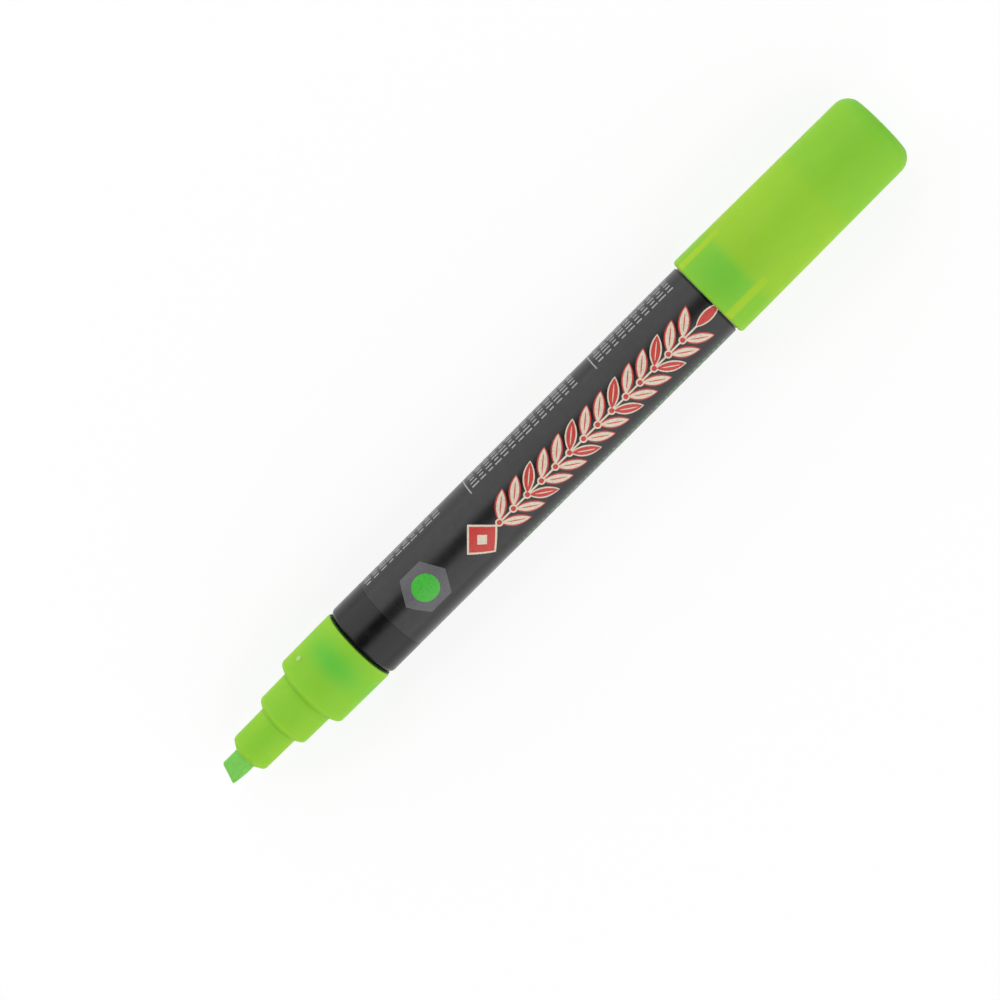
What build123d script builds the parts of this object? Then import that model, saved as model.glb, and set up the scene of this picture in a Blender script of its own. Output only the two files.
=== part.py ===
from build123d import *
import os
from math import cos, dist, pi, radians, sin, sqrt, tan

# A liquid chalk marker lying on its side, with its cap posted on its tail. The ink sits in the barrel, and pressing
# the nib opens a sprung valve behind it. The pen's axis runs along X, nib towards -X and cap towards +X. Each piece
# is drawn about an axis through zero, with x = 0 where the front section meets the barrel, and is then moved so
# that the origin lies on the table, below the middle of the pen. All sizes are in millimetres.

# Fits, as gaps on one side
FIXED_GAP = 0.02
SLIDING_GAP = 0.06
CUT_OVERRUN = 1.0

# Barrel and its label
BARREL_DIAMETER = 15.0
BARREL_LENGTH = 92.3
BARREL_WALL = 1.25
BARREL_RIM_ROUND = 1.0
BARREL_TAIL_STEP = 0.3
BARREL_TAIL_ROUND = 0.4
LABEL_FILM = 0.13
LABEL_FRONT_MARGIN = 7.4
LABEL_REAR_MARGIN = 7.6

# Front section: collar, neck and nose, each stepped down by a shoulder
COLLAR_LENGTH = 12.4
COLLAR_STEP = 0.05
COLLAR_TAPER = 0.1
COLLAR_REAR_ROUND = 0.8
NECK_LENGTH = 6.35
NECK_WALL = 1.27
NECK_TAPER = 0.1
NOSE_LENGTH = 7.35
NOSE_WALL = 1.79
NOSE_TAPER = 0.08
NOSE_LIP = 0.35
SHOULDER_LENGTH = 0.9
SHOULDER_ROUND = 0.85
SHOULDER_HOLLOW = 0.3
SPIGOT_LENGTH = 7.0
SPIGOT_WALL = 0.9
SPIGOT_ROUND = 0.4
CHAMBER_SETBACK = 0.5
INK_GROOVE_COUNT = 4
INK_GROOVE_RADIUS = 0.4
INK_GROOVE_SETBACK = 2.0

# Nib
NIB_DIAMETER = 4.3
NIB_EXPOSED = 5.1
NIB_SLANT_DEGREES = 19.3
NIB_SIDE_DROP = 0.4
NIB_SIDE_LENGTH = 4.0
NIB_EDGE = 1.3
NIB_WEDGE_LENGTH = 5.2
NIB_CORNER_ROUND = 0.3
NIB_REAR_ROUND = 0.5

# Valve
VALVE_TRAVEL = 2.0
VALVE_SEAT_DEPTH = 8.0
VALVE_SEAT_THICKNESS = 3.5
VALVE_SEAT_LEDGE = 0.9
SEAT_LIP_HEIGHT = 0.4
SEAT_LIP_WIDTH = 0.5
NIB_REAR_CLEARANCE = 0.5
INK_GAP = 0.6
STEM_DIAMETER = 2.4
STEM_HEAD_SHARE = 0.6332
STEM_HEAD_THICKNESS = 1.4
STEM_HEAD_CLEARANCE = 0.5
STEM_EDGE_ROUND = 0.2
GUIDE_PIN_DIAMETER = 2.2
GUIDE_PIN_OVERHANG = 0.8
GUIDE_PIN_ROUND = 0.4
SEAL_THICKNESS = 0.8
CAGE_LENGTH = 14.0
CAGE_WALL = 0.8
CAGE_FLOOR = 1.0
CAGE_FLANGE_LENGTH = 2.5
CAGE_EDGE_ROUND = 0.4
CAGE_WINDOW_WIDTH = 2.6
CAGE_WINDOW_MARGIN = 1.2
SPRING_WIRE = 0.4
SPRING_PLAY = 0.6
SPRING_TURNS = 6
SPRING_ARCS_PER_TURN = 4

# Mixing ball and tail plug
BALL_DIAMETER = 7.0
BALL_GAP = 0.05
BALL_REST_SHARE = 0.45
PLUG_LENGTH = 6.0
PLUG_WALL = 1.0
PLUG_ROUND = 0.3
PLUG_FLANGE_LIP = 0.9
PLUG_FLANGE_THICKNESS = 1.2
PLUG_FLANGE_ROUND = 0.7

# Cap and its liner
CAP_LENGTH = 41.8
CAP_CLEARANCE = 0.3
CAP_WALL = 0.925
CAP_TAPER = 0.32
CAP_RIM_ROUND = 0.35
CAP_POST_DEPTH = 7.2
CAP_POST_GAP = 0.3
CAP_GRIP_DEPTH = 13.5
CAP_GRIP_STEP = 0.6
CAP_END_WALL = 1.3
CAP_END_ROUND = 3.2
CAP_END_RISE = 0.45
CAP_INNER_ROUND = 2.0
CAP_RIB_COUNT = 4
CAP_RIB_FIRST_DEGREES = 35.0
CAP_RIB_LENGTH = 9.6
CAP_RIB_WIDTH = 1.4
CAP_RIB_HEIGHT = 0.25
LINER_SETBACK = 0.8
LINER_RING_LENGTH = 4.0
LINER_SEAL_GAP = 0.1
LINER_WALL = 0.9
LINER_NOSE_GAP = 0.8
LINER_END_GAP = 2.5
LINER_ROUND = 0.6

# Radii that follow from the sizes above, from the outside in
barrel_radius = BARREL_DIAMETER / 2
recess_radius = barrel_radius - LABEL_FILM - FIXED_GAP
bore_radius = recess_radius - BARREL_WALL
spigot_radius = bore_radius - FIXED_GAP
valve_bore_radius = spigot_radius - SPIGOT_WALL
chamber_radius = valve_bore_radius - VALVE_SEAT_LEDGE
nib_radius = NIB_DIAMETER / 2
nib_bore_radius = nib_radius + SLIDING_GAP
collar_radius = barrel_radius - COLLAR_STEP
neck_radius = chamber_radius + NECK_WALL
nose_radius = nib_bore_radius + NOSE_WALL
pressed_radius = valve_bore_radius - FIXED_GAP
head_radius = valve_bore_radius * STEM_HEAD_SHARE
cage_inner_radius = head_radius + STEM_HEAD_CLEARANCE
cage_radius = cage_inner_radius + CAGE_WALL
stem_radius = STEM_DIAMETER / 2
seat_hole_radius = stem_radius + INK_GAP
pin_radius = GUIDE_PIN_DIAMETER / 2
spring_radius = pin_radius + SPRING_PLAY + SPRING_WIRE / 2
ball_radius = BALL_DIAMETER / 2
tail_radius = barrel_radius - BARREL_TAIL_STEP
grip_radius = tail_radius + CAP_CLEARANCE
cap_radius = grip_radius + CAP_WALL
cap_end_radius = cap_radius - CAP_TAPER
liner_bore_radius = grip_radius - CAP_GRIP_STEP
liner_seal_radius = neck_radius + LINER_SEAL_GAP
liner_end_radius = nose_radius + LINER_NOSE_GAP

# Places along the axis
label_front = LABEL_FRONT_MARGIN
label_rear = BARREL_LENGTH - LABEL_REAR_MARGIN
collar_front = -COLLAR_LENGTH
neck_rear = collar_front - SHOULDER_LENGTH
neck_front = neck_rear - NECK_LENGTH
nose_rear = neck_front - SHOULDER_LENGTH
nose_front = nose_rear - NOSE_LENGTH
mouth = nose_front - SHOULDER_LENGTH
chamber_front = neck_front + CHAMBER_SETBACK
seat_front = -VALVE_SEAT_DEPTH
seat_rear = seat_front + VALVE_SEAT_THICKNESS
lip_rear = seat_rear + SEAT_LIP_HEIGHT
seal_front = lip_rear + FIXED_GAP
head_front = seal_front + SEAL_THICKNESS + FIXED_GAP
head_rear = head_front + STEM_HEAD_THICKNESS
cage_rear = seat_rear + CAGE_LENGTH
cage_floor = cage_rear - CAGE_FLOOR
pin_rear = cage_rear + GUIDE_PIN_OVERHANG
nib_corner = mouth - NIB_EXPOSED
nib_rear = seat_front - VALVE_TRAVEL - NIB_REAR_CLEARANCE
plug_front = BARREL_LENGTH - PLUG_LENGTH
ball_front_limit = pin_rear + VALVE_TRAVEL + ball_radius
ball_rear_limit = plug_front - ball_radius
ball_rest = ball_front_limit + (ball_rear_limit - ball_front_limit) * BALL_REST_SHARE
cap_mouth = BARREL_LENGTH - CAP_POST_DEPTH
tail_front = cap_mouth - CAP_POST_GAP
cap_end = cap_mouth + CAP_LENGTH
cap_step = cap_mouth + CAP_GRIP_DEPTH
cap_floor = cap_end - CAP_END_WALL
liner_front = cap_step + LINER_SETBACK
liner_ring_rear = liner_front + LINER_RING_LENGTH
liner_end = cap_floor - LINER_END_GAP
liner_floor = liner_end - LINER_WALL


def turned(*corners):
    """Turns an outline about the X axis: its corners are (x, radius) or (x, radius, rounding)."""
    points = [(corner[0], corner[1]) for corner in corners]
    roundings = [corner[2] if len(corner) > 2 else 0 for corner in corners]
    return revolve(make_face(FilletPolyline(*points, radius=roundings, close=True)), axis=Axis.X)


def around_axis(count, first_degrees=0.0):
    """Rotations about the X axis for a ring of equal features."""
    return [Rot(first_degrees + 360 * index / count, 0, 0) for index in range(count)]


def make_barrel_tube():
    return turned(
        (0, bore_radius),
        (0, barrel_radius, BARREL_RIM_ROUND),
        (label_front, barrel_radius),
        (label_front, recess_radius),
        (label_rear, recess_radius),
        (label_rear, barrel_radius),
        (tail_front, barrel_radius),
        (tail_front, tail_radius),
        (BARREL_LENGTH, tail_radius, BARREL_TAIL_ROUND),
        (BARREL_LENGTH, bore_radius),
    )


def make_label_sleeve():
    return turned(
        (label_front + FIXED_GAP, recess_radius + FIXED_GAP),
        (label_front + FIXED_GAP, barrel_radius),
        (label_rear - FIXED_GAP, barrel_radius),
        (label_rear - FIXED_GAP, recess_radius + FIXED_GAP),
    )


def make_nib_holder():
    holder = turned(
        (mouth, nib_bore_radius),
        (mouth, nib_bore_radius + NOSE_LIP),
        (nose_front, nose_radius - NOSE_TAPER, SHOULDER_ROUND),
        (nose_rear, nose_radius, SHOULDER_HOLLOW),
        (neck_front, neck_radius - NECK_TAPER, SHOULDER_ROUND),
        (neck_rear, neck_radius, SHOULDER_HOLLOW),
        (collar_front, collar_radius - COLLAR_TAPER, SHOULDER_ROUND),
        (-FIXED_GAP, collar_radius, COLLAR_REAR_ROUND),
        (-FIXED_GAP, spigot_radius),
        (SPIGOT_LENGTH, spigot_radius, SPIGOT_ROUND),
        (SPIGOT_LENGTH, valve_bore_radius),
        (seat_front, valve_bore_radius),
        (seat_front, chamber_radius),
        (chamber_front, chamber_radius),
        (chamber_front, nib_bore_radius),
    )
    # Grooves beside the nib carry ink forward and let air back
    groove_length = chamber_front - mouth - INK_GROOVE_SETBACK + CUT_OVERRUN
    groove = Cylinder(INK_GROOVE_RADIUS, groove_length, align=(Align.CENTER, Align.CENTER, Align.MIN))
    groove = Pos(mouth + INK_GROOVE_SETBACK, 0, nib_bore_radius) * Rot(0, 90, 0) * groove
    for turn in around_axis(INK_GROOVE_COUNT):
        holder -= turn * groove
    return holder


def make_writing_nib():
    rod = turned(
        (nib_corner, 0),
        (nib_corner, nib_radius),
        (nib_rear, nib_radius, NIB_REAR_ROUND),
        (nib_rear, 0),
    )
    wedge_rear = nib_corner + NIB_WEDGE_LENGTH
    past_rear = nib_rear + CUT_OVERRUN
    upper_side = [
        (nib_corner, NIB_EDGE / 2),
        (wedge_rear, nib_radius),
        (wedge_rear, NIB_DIAMETER),
        (past_rear, NIB_DIAMETER),
    ]
    lower_side = [(x, -z) for x, z in reversed(upper_side)]
    wedge = extrude(Plane.XZ * make_face(Polyline(*upper_side, *lower_side, close=True)), NIB_DIAMETER, both=True)
    # Seen from above, the writing edge slants, and the side that leads to its long corner is slightly bowed
    half_width = nib_radius + FIXED_GAP
    long_corner = (nib_corner, NIB_SIDE_DROP - half_width)
    edge_width = half_width - long_corner[1]
    short_corner = (nib_corner + edge_width * tan(radians(NIB_SLANT_DEGREES)), half_width)
    bow_rear = (nib_corner + NIB_SIDE_LENGTH, -half_width)
    outline = Polyline(bow_rear, (past_rear, -half_width), (past_rear, half_width), short_corner, long_corner)
    outline += TangentArc(bow_rear, long_corner, tangent=(-1, 0))
    edge = make_face(outline)
    edge = fillet(edge.vertices().sort_by(Axis.X)[:2], NIB_CORNER_ROUND)
    return rod & wedge & extrude(edge, NIB_DIAMETER, both=True)


def make_valve_seat():
    return turned(
        (seat_front + FIXED_GAP, seat_hole_radius),
        (seat_front + FIXED_GAP, pressed_radius),
        (seat_rear, pressed_radius),
        (seat_rear, seat_hole_radius + SEAT_LIP_WIDTH),
        (lip_rear, seat_hole_radius + SEAT_LIP_WIDTH),
        (lip_rear, seat_hole_radius),
    )


def make_valve_seal():
    return turned(
        (seal_front, stem_radius + FIXED_GAP),
        (seal_front, head_radius),
        (seal_front + SEAL_THICKNESS, head_radius),
        (seal_front + SEAL_THICKNESS, stem_radius + FIXED_GAP),
    )


def make_valve_stem():
    return turned(
        (nib_rear + FIXED_GAP, 0),
        (nib_rear + FIXED_GAP, stem_radius, STEM_EDGE_ROUND),
        (head_front, stem_radius),
        (head_front, head_radius, STEM_EDGE_ROUND),
        (head_rear, head_radius, STEM_EDGE_ROUND),
        (head_rear, pin_radius),
        (pin_rear, pin_radius, GUIDE_PIN_ROUND),
        (pin_rear, 0),
    )


def make_valve_cage():
    flange_rear = seat_rear + CAGE_FLANGE_LENGTH
    cage = turned(
        (seat_rear + FIXED_GAP, cage_inner_radius),
        (seat_rear + FIXED_GAP, pressed_radius),
        (flange_rear, pressed_radius),
        (flange_rear, cage_radius),
        (cage_rear, cage_radius, CAGE_EDGE_ROUND),
        (cage_rear, pin_radius + SLIDING_GAP),
        (cage_floor, pin_radius + SLIDING_GAP),
        (cage_floor, cage_inner_radius),
    )
    # Each window bar crosses the whole cage, so two bars open four windows
    window_front = flange_rear + CAGE_WINDOW_MARGIN
    window_length = cage_floor - CAGE_WINDOW_MARGIN - window_front
    window = Box(window_length, CAGE_WINDOW_WIDTH, 2 * (cage_radius + CUT_OVERRUN))
    for turn in (Rot(45, 0, 0), Rot(-45, 0, 0)):
        cage -= turn * Pos(window_front + window_length / 2, 0, 0) * window
    return cage


def make_valve_spring():
    """A coil between the stem's head and the cage's floor, swept along pairs of tangent arcs on a helix."""
    start = head_rear + FIXED_GAP + SPRING_WIRE / 2
    length = cage_floor - FIXED_GAP - SPRING_WIRE / 2 - start
    rise = length / (2 * pi * SPRING_TURNS)

    def on_helix(angle):
        return Vector(start + rise * angle, spring_radius * cos(angle), spring_radius * sin(angle))

    def along_helix(angle):
        return Vector(rise, -spring_radius * sin(angle), spring_radius * cos(angle)).normalized()

    steps = SPRING_TURNS * SPRING_ARCS_PER_TURN
    angles = [2 * pi * step / SPRING_ARCS_PER_TURN for step in range(steps + 1)]
    arcs = []
    for first, last in zip(angles, angles[1:]):
        begin, end = on_helix(first), on_helix(last)
        leave, arrive = along_helix(first), along_helix(last)
        chord, both = end - begin, leave + arrive
        bend = 2 * (1 - leave.dot(arrive))
        reach = (sqrt(chord.dot(both) ** 2 + bend * chord.dot(chord)) - chord.dot(both)) / bend
        near, far = begin + leave * reach, end - arrive * reach
        middle = (near + far) / 2
        arcs.append(Edge.make_tangent_arc(begin, leave, middle))
        arcs.append(Edge.make_tangent_arc(middle, far - near, end))
    path = Wire(arcs)

    samples = [tuple(path.position_at(index / (steps * 4))) for index in range(steps * 4 + 1)]
    half_turn = SPRING_ARCS_PER_TURN * 2
    apart = min(
        dist(first, last)
        for place, first in enumerate(samples)
        for last in samples[place + half_turn:]
    )
    print("valve_spring least gap between turns, mm:", round(apart - SPRING_WIRE, 3))
    wire = Plane(on_helix(0), z_dir=along_helix(0)) * Circle(SPRING_WIRE / 2)
    return sweep(wire, path=path)


def make_mixing_ball():
    return Pos(ball_rest, 0, -(bore_radius - ball_radius - BALL_GAP)) * Sphere(ball_radius)


def make_tail_plug():
    return turned(
        (plug_front, spigot_radius - PLUG_WALL),
        (plug_front, spigot_radius, PLUG_ROUND),
        (BARREL_LENGTH + FIXED_GAP, spigot_radius),
        (BARREL_LENGTH + FIXED_GAP, bore_radius + PLUG_FLANGE_LIP),
        (BARREL_LENGTH + PLUG_FLANGE_THICKNESS, bore_radius + PLUG_FLANGE_LIP, PLUG_FLANGE_ROUND),
        (BARREL_LENGTH + PLUG_FLANGE_THICKNESS, 0),
        (BARREL_LENGTH, 0),
        (BARREL_LENGTH, spigot_radius - PLUG_WALL),
    )


def make_cap_shell():
    shell = turned(
        (cap_mouth, grip_radius),
        (cap_mouth, cap_radius, CAP_RIM_ROUND),
        (cap_end, cap_end_radius, CAP_END_ROUND),
        (cap_end, 0),
        (cap_floor, 0),
        (cap_floor, liner_bore_radius, CAP_INNER_ROUND),
        (cap_step, liner_bore_radius),
        (cap_step, grip_radius),
    )
    # The closed end is slightly crowned
    crown_radius = (cap_end_radius**2 + CAP_END_RISE**2) / (2 * CAP_END_RISE)
    shell &= Pos(cap_end - crown_radius, 0, 0) * Sphere(crown_radius)
    # Low ribs inside the mouth grip the barrel
    rib_ring = turned(
        (cap_mouth + CAP_RIM_ROUND, grip_radius - CAP_RIB_HEIGHT),
        (cap_mouth + CAP_RIM_ROUND, grip_radius + CAP_RIB_HEIGHT),
        (cap_mouth + CAP_RIB_LENGTH, grip_radius + CAP_RIB_HEIGHT),
        (cap_mouth + CAP_RIB_LENGTH, grip_radius - CAP_RIB_HEIGHT),
    )
    rib_slice = Box(CAP_LENGTH, CAP_RIB_WIDTH, cap_radius, align=(Align.MIN, Align.CENTER, Align.MIN))
    for turn in around_axis(CAP_RIB_COUNT, CAP_RIB_FIRST_DEGREES):
        shell += rib_ring & (turn * Pos(cap_mouth, 0, 0) * rib_slice)
    return shell


def make_cap_liner():
    return turned(
        (liner_front, liner_seal_radius),
        (liner_front, liner_bore_radius - FIXED_GAP, LINER_ROUND),
        (liner_ring_rear, liner_bore_radius - FIXED_GAP),
        (liner_ring_rear, liner_seal_radius + LINER_WALL / 2),
        (liner_end, liner_end_radius + LINER_WALL, LINER_ROUND),
        (liner_end, 0),
        (liner_floor, 0),
        (liner_floor, liner_end_radius),
        (liner_ring_rear - LINER_WALL, liner_seal_radius),
    )


pieces = {
    "barrel_tube": make_barrel_tube(),
    "label_sleeve": make_label_sleeve(),
    "tail_plug": make_tail_plug(),
    "nib_holder": make_nib_holder(),
    "writing_nib": make_writing_nib(),
    "valve_seat": make_valve_seat(),
    "valve_seal": make_valve_seal(),
    "valve_stem": make_valve_stem(),
    "valve_spring": make_valve_spring(),
    "valve_cage": make_valve_cage(),
    "mixing_ball": make_mixing_ball(),
    "cap_shell": make_cap_shell(),
    "cap_liner": make_cap_liner(),
}

# From the drawing axis to the table, with the origin below the middle of the pen
nib_tip = pieces["writing_nib"].bounding_box().min.X
to_table = Pos(-(nib_tip + cap_end) / 2, 0, cap_radius)

os.makedirs("parts", exist_ok=True)
for name, piece in pieces.items():
    export_step(to_table * piece, f"parts/{name}.step")
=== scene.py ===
# %% [markdown]
# # A liquid chalk marker
# The marker lies on a white table with its cap posted on its tail. Its solids come packed from the CAD
# model, and this lesson dresses them: each piece that shows is made again with more steps and softer
# edges, and gets a finish made of nodes. Everything is in metres, with the pen's axis along X and the nib
# towards -X.

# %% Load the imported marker
import math

import bmesh
import bpy
from mathutils import Matrix, Vector


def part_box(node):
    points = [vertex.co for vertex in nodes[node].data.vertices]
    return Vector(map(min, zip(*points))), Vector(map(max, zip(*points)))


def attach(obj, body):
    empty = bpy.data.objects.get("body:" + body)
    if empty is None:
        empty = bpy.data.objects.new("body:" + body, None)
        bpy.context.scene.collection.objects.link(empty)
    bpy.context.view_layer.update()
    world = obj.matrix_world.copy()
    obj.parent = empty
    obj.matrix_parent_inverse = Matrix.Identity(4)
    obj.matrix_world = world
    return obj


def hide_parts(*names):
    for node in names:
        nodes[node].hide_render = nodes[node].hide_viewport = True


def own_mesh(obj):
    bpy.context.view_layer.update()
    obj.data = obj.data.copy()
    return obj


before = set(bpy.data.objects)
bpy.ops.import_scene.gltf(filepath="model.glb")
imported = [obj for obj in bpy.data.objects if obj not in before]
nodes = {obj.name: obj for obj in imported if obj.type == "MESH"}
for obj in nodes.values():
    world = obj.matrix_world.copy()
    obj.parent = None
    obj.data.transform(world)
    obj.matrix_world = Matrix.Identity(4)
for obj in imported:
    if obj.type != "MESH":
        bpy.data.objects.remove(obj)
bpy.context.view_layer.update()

MM = 0.001

scene = bpy.context.scene
print("pieces in the frame:", ", ".join(sorted(nodes)))

# %% [markdown]
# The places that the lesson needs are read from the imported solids, so the looks follow the CAD model if a
# size changes there. A turned piece has its axis in the middle of its box, and the cap gives the height of
# the one axis that all the pieces share.

# %% Read the axis from the frame
cap_low, cap_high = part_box("cap_shell")
axis_height = (cap_low.z + cap_high.z) / 2
axis_point = Vector((0, 0, axis_height))
print(f"the pen's axis lies {axis_height / MM:.3f} mm above the table")

# %% [markdown]
# Shader trees and Geometry Nodes trees are both graphs of nodes, so a few small helpers serve them all.
# `add_node` makes one node, sets its properties and fills or links its sockets. `calculate` is a single
# Math node, `ease` is a smooth step from one value to another, and `split_xyz` takes a vector apart.

# %% Helpers for node trees
def add_node(tree, kind, inputs=None, **settings):
    """Adds a node to a tree; each input is a plain value or another node's output socket."""
    node = tree.nodes.new(kind)
    for name, value in settings.items():
        setattr(node, name, value)
    for socket, value in (inputs or {}).items():
        if isinstance(value, bpy.types.NodeSocket):
            tree.links.new(value, node.inputs[socket])
        else:
            node.inputs[socket].default_value = value
    return node


def calculate(tree, operation, *values):
    """The output of one Math node."""
    return add_node(tree, "ShaderNodeMath", dict(enumerate(values)), operation=operation).outputs[0]


def ease(tree, value, low, high, first=0.0, last=1.0):
    """A smooth step: first below low, last above high."""
    inputs = {"Value": value, "From Min": low, "From Max": high, "To Min": first, "To Max": last}
    step = add_node(tree, "ShaderNodeMapRange", inputs, interpolation_type="SMOOTHSTEP")
    return step.outputs["Result"]


def split_xyz(tree, vector):
    """A vector as its X, Y and Z."""
    return add_node(tree, "ShaderNodeSeparateXYZ", {0: vector}).outputs


print("helpers for node trees: add_node, calculate, ease, split_xyz")

# %% [markdown]
# ## Light
# The marker was lit by two large soft boxes, one along each side, with a dark gap overhead where the camera
# hangs. On the glossy label that gap is the dark streak along the barrel. Lamps could make the boxes, but a
# world that is bright on both sides, and dim above and past the pen's ends, gives the same reflections with
# less noise. The camera itself sees plain white.

# %% Soft light from both sides
WHITE = (1, 1, 1, 1)
WHITE_LEVEL = 1.0
BOX_LEVEL = 1.5
GAP_LEVEL = 0.07
GAP_INNER = math.radians(9)
GAP_OUTER = math.radians(31)
ENDWISE_FROM = 0.55
ENDWISE_TO = 0.9
PEN_END_SHARE = 0.2

world = bpy.data.worlds.new("soft_boxes")
world.use_nodes = True
tree = world.node_tree
tree.nodes.clear()
looking = add_node(tree, "ShaderNodeTexCoord").outputs["Generated"]
direction = split_xyz(tree, looking)
sideways = calculate(tree, "ABSOLUTE", direction["Y"])
from_overhead = calculate(tree, "ARCTAN2", sideways, direction["Z"])
box_light = ease(tree, from_overhead, GAP_INNER, GAP_OUTER, GAP_LEVEL, BOX_LEVEL)
endwise = calculate(tree, "ABSOLUTE", direction["X"])
to_the_ends = ease(tree, endwise, ENDWISE_FROM, ENDWISE_TO, 1.0, PEN_END_SHARE)
box_light = calculate(tree, "MULTIPLY", box_light, to_the_ends)
seen = add_node(tree, "ShaderNodeLightPath").outputs["Is Camera Ray"]
strength = add_node(tree, "ShaderNodeMix", {"Factor": seen, "A": box_light, "B": WHITE_LEVEL})
background = add_node(tree, "ShaderNodeBackground", {"Color": WHITE, "Strength": strength.outputs["Result"]})
add_node(tree, "ShaderNodeOutputWorld", {"Surface": background.outputs[0]})
scene.world = world
scene.view_settings.view_transform = "Standard"
print("world: side level", BOX_LEVEL, "overhead level", GAP_LEVEL)

# %% [markdown]
# ## Table
# The table is one white sheet. A curved backdrop isn't needed, because the camera looks down on it. Part of
# what the camera sees of it is plain glow, so it reads as white paper, and the rest is ordinary diffuse
# shading, which keeps the marker's soft shadow.

# %% White table
TABLE_REACH = 1.5
TABLE_WHITE = (0.8, 0.8, 0.8, 1)
GLOW_SHARE = 0.78
GLOW_LEVEL = 1.08


def add_piece(name, mesh, material):
    """Puts a mesh in the scene as an object, in one material."""
    mesh.materials.append(material)
    piece = bpy.data.objects.new(name, mesh)
    scene.collection.objects.link(piece)
    return piece


table_material = bpy.data.materials.new("table_white")
table_material.use_nodes = True
tree = table_material.node_tree
tree.nodes.clear()
path = add_node(tree, "ShaderNodeLightPath").outputs
direct = calculate(tree, "MAXIMUM", path["Is Camera Ray"], path["Is Glossy Ray"])
direct = calculate(tree, "MAXIMUM", direct, path["Is Transmission Ray"])
paper = add_node(tree, "ShaderNodeBsdfDiffuse", {"Color": TABLE_WHITE}).outputs[0]
glow = add_node(tree, "ShaderNodeEmission", {"Color": WHITE, "Strength": GLOW_LEVEL}).outputs[0]
glow_share = calculate(tree, "MULTIPLY", direct, GLOW_SHARE)
mixed = add_node(tree, "ShaderNodeMixShader", {0: glow_share, 1: paper, 2: glow}).outputs[0]
add_node(tree, "ShaderNodeOutputMaterial", {"Surface": mixed})

table_mesh = bpy.data.meshes.new("table")
corners = [(TABLE_REACH * x, TABLE_REACH * y, 0) for x, y in ((-1, -1), (1, -1), (1, 1), (-1, 1))]
table_mesh.from_pydata(corners, [], [(0, 1, 2, 3)])
table = add_piece("table", table_mesh, table_material)
print("table:", 2 * TABLE_REACH, "m across")

# %% [markdown]
# ## Camera
# The photograph looks almost straight down. The cap's mouth shows as a straight line and the front joint as
# a shallow arc, so the camera hung over the cap's mouth, about half a metre up, and was aimed at the middle
# of the pen. The pen's axis crosses the picture from lower left to upper right, at 45 degrees.

# %% Camera over the cap's mouth
CAMERA_HEIGHT = 500 * MM
AIM_BEFORE_MOUTH = 50.05 * MM
AIM_Y = 0.5 * MM
LENS = 104.0
SENSOR_WIDTH = 36.0
AXIS_LEAN = math.radians(44.9)

camera_data = bpy.data.cameras.new("overhead")
camera_data.lens = LENS
camera_data.sensor_width = SENSOR_WIDTH
camera = bpy.data.objects.new("overhead", camera_data)
scene.collection.objects.link(camera)
camera.location = Vector((cap_low.x, AIM_Y, axis_height + CAMERA_HEIGHT))
aim = Vector((cap_low.x - AIM_BEFORE_MOUTH, AIM_Y, axis_height))
forward = (aim - camera.location).normalized()
along = Vector((1, 0, 0))
along = (along - forward * along.dot(forward)).normalized()
beside = along.cross(forward)
right = along * math.cos(AXIS_LEAN) - beside * math.sin(AXIS_LEAN)
up = right.cross(forward)
camera.rotation_mode = "QUATERNION"
camera.rotation_quaternion = Matrix((right, up, -forward)).transposed().to_quaternion()
scene.camera = camera
print("camera at", [round(c / MM, 1) for c in camera.location], "mm")

# %% [markdown]
# ## How the turned pieces are made
# A marker is nearly all turned shapes: barrel, front section, cap and plugs are each an outline swept round
# one axis. Screw or Spin would do it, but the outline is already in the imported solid, so it is read back
# from there by cutting the solid with a half plane through its axis. The cut is made where no rib or groove
# is in the way.

# %% Cut a solid through its axis
CUT_ANGLE = math.radians(47.3)
SAME_PLACE = 0.0005 * MM


def cut_half(shape):
    """Cuts a solid with a half plane through the axis; returns each cut corner with its neighbours."""
    outward = Vector((0, math.cos(CUT_ANGLE), math.sin(CUT_ANGLE)))
    across = Vector((0, -outward.z, outward.y))
    for normal, clear in ((outward, True), (across, False)):
        whole = [*shape.verts, *shape.edges, *shape.faces]
        cut = bmesh.ops.bisect_plane(shape, geom=whole, dist=SAME_PLACE, plane_co=axis_point,
                                     plane_no=normal, clear_inner=clear)
    neighbours = {}
    for edge in cut["geom_cut"]:
        if isinstance(edge, bmesh.types.BMEdge):
            first, last = edge.verts
            neighbours.setdefault(first, []).append(last)
            neighbours.setdefault(last, []).append(first)
    return neighbours


def walk_along(neighbours, start):
    """The corners of a cut in order, from one end to the other or once round."""
    walk = [start]
    came_from = None
    while True:
        onward = [vert for vert in neighbours[walk[-1]] if vert != came_from]
        if not onward or onward[0] == start:
            return walk
        came_from = walk[-1]
        walk.append(onward[0])


print(f"solids are cut {math.degrees(CUT_ANGLE):.1f} degrees round the axis")

# %% [markdown]
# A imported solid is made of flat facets, and a cut through the middle of a facet lies a little too near the
# axis. The rings of corners round the solid lie on the true shape, so each cut corner takes the radius of
# the ring that it belongs to, and a corner with no ring, in the middle of a facet, is dropped.

# %% Read a turned solid's outline
RING_STEP = 0.002 * MM
FACET_DEPTH = 0.04 * MM


def from_axis(point):
    """A point as its place along the axis and its distance from it."""
    return Vector((point.x, math.hypot(point.y, point.z - axis_height), 0))


def ring_radii(shape):
    """The distances from the axis at which a solid has corners, for each place along the axis."""
    rings = {}
    for vert in shape.verts:
        spot = from_axis(vert.co)
        rings.setdefault(round(spot.x / RING_STEP), set()).add(spot.y)
    return rings


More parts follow.
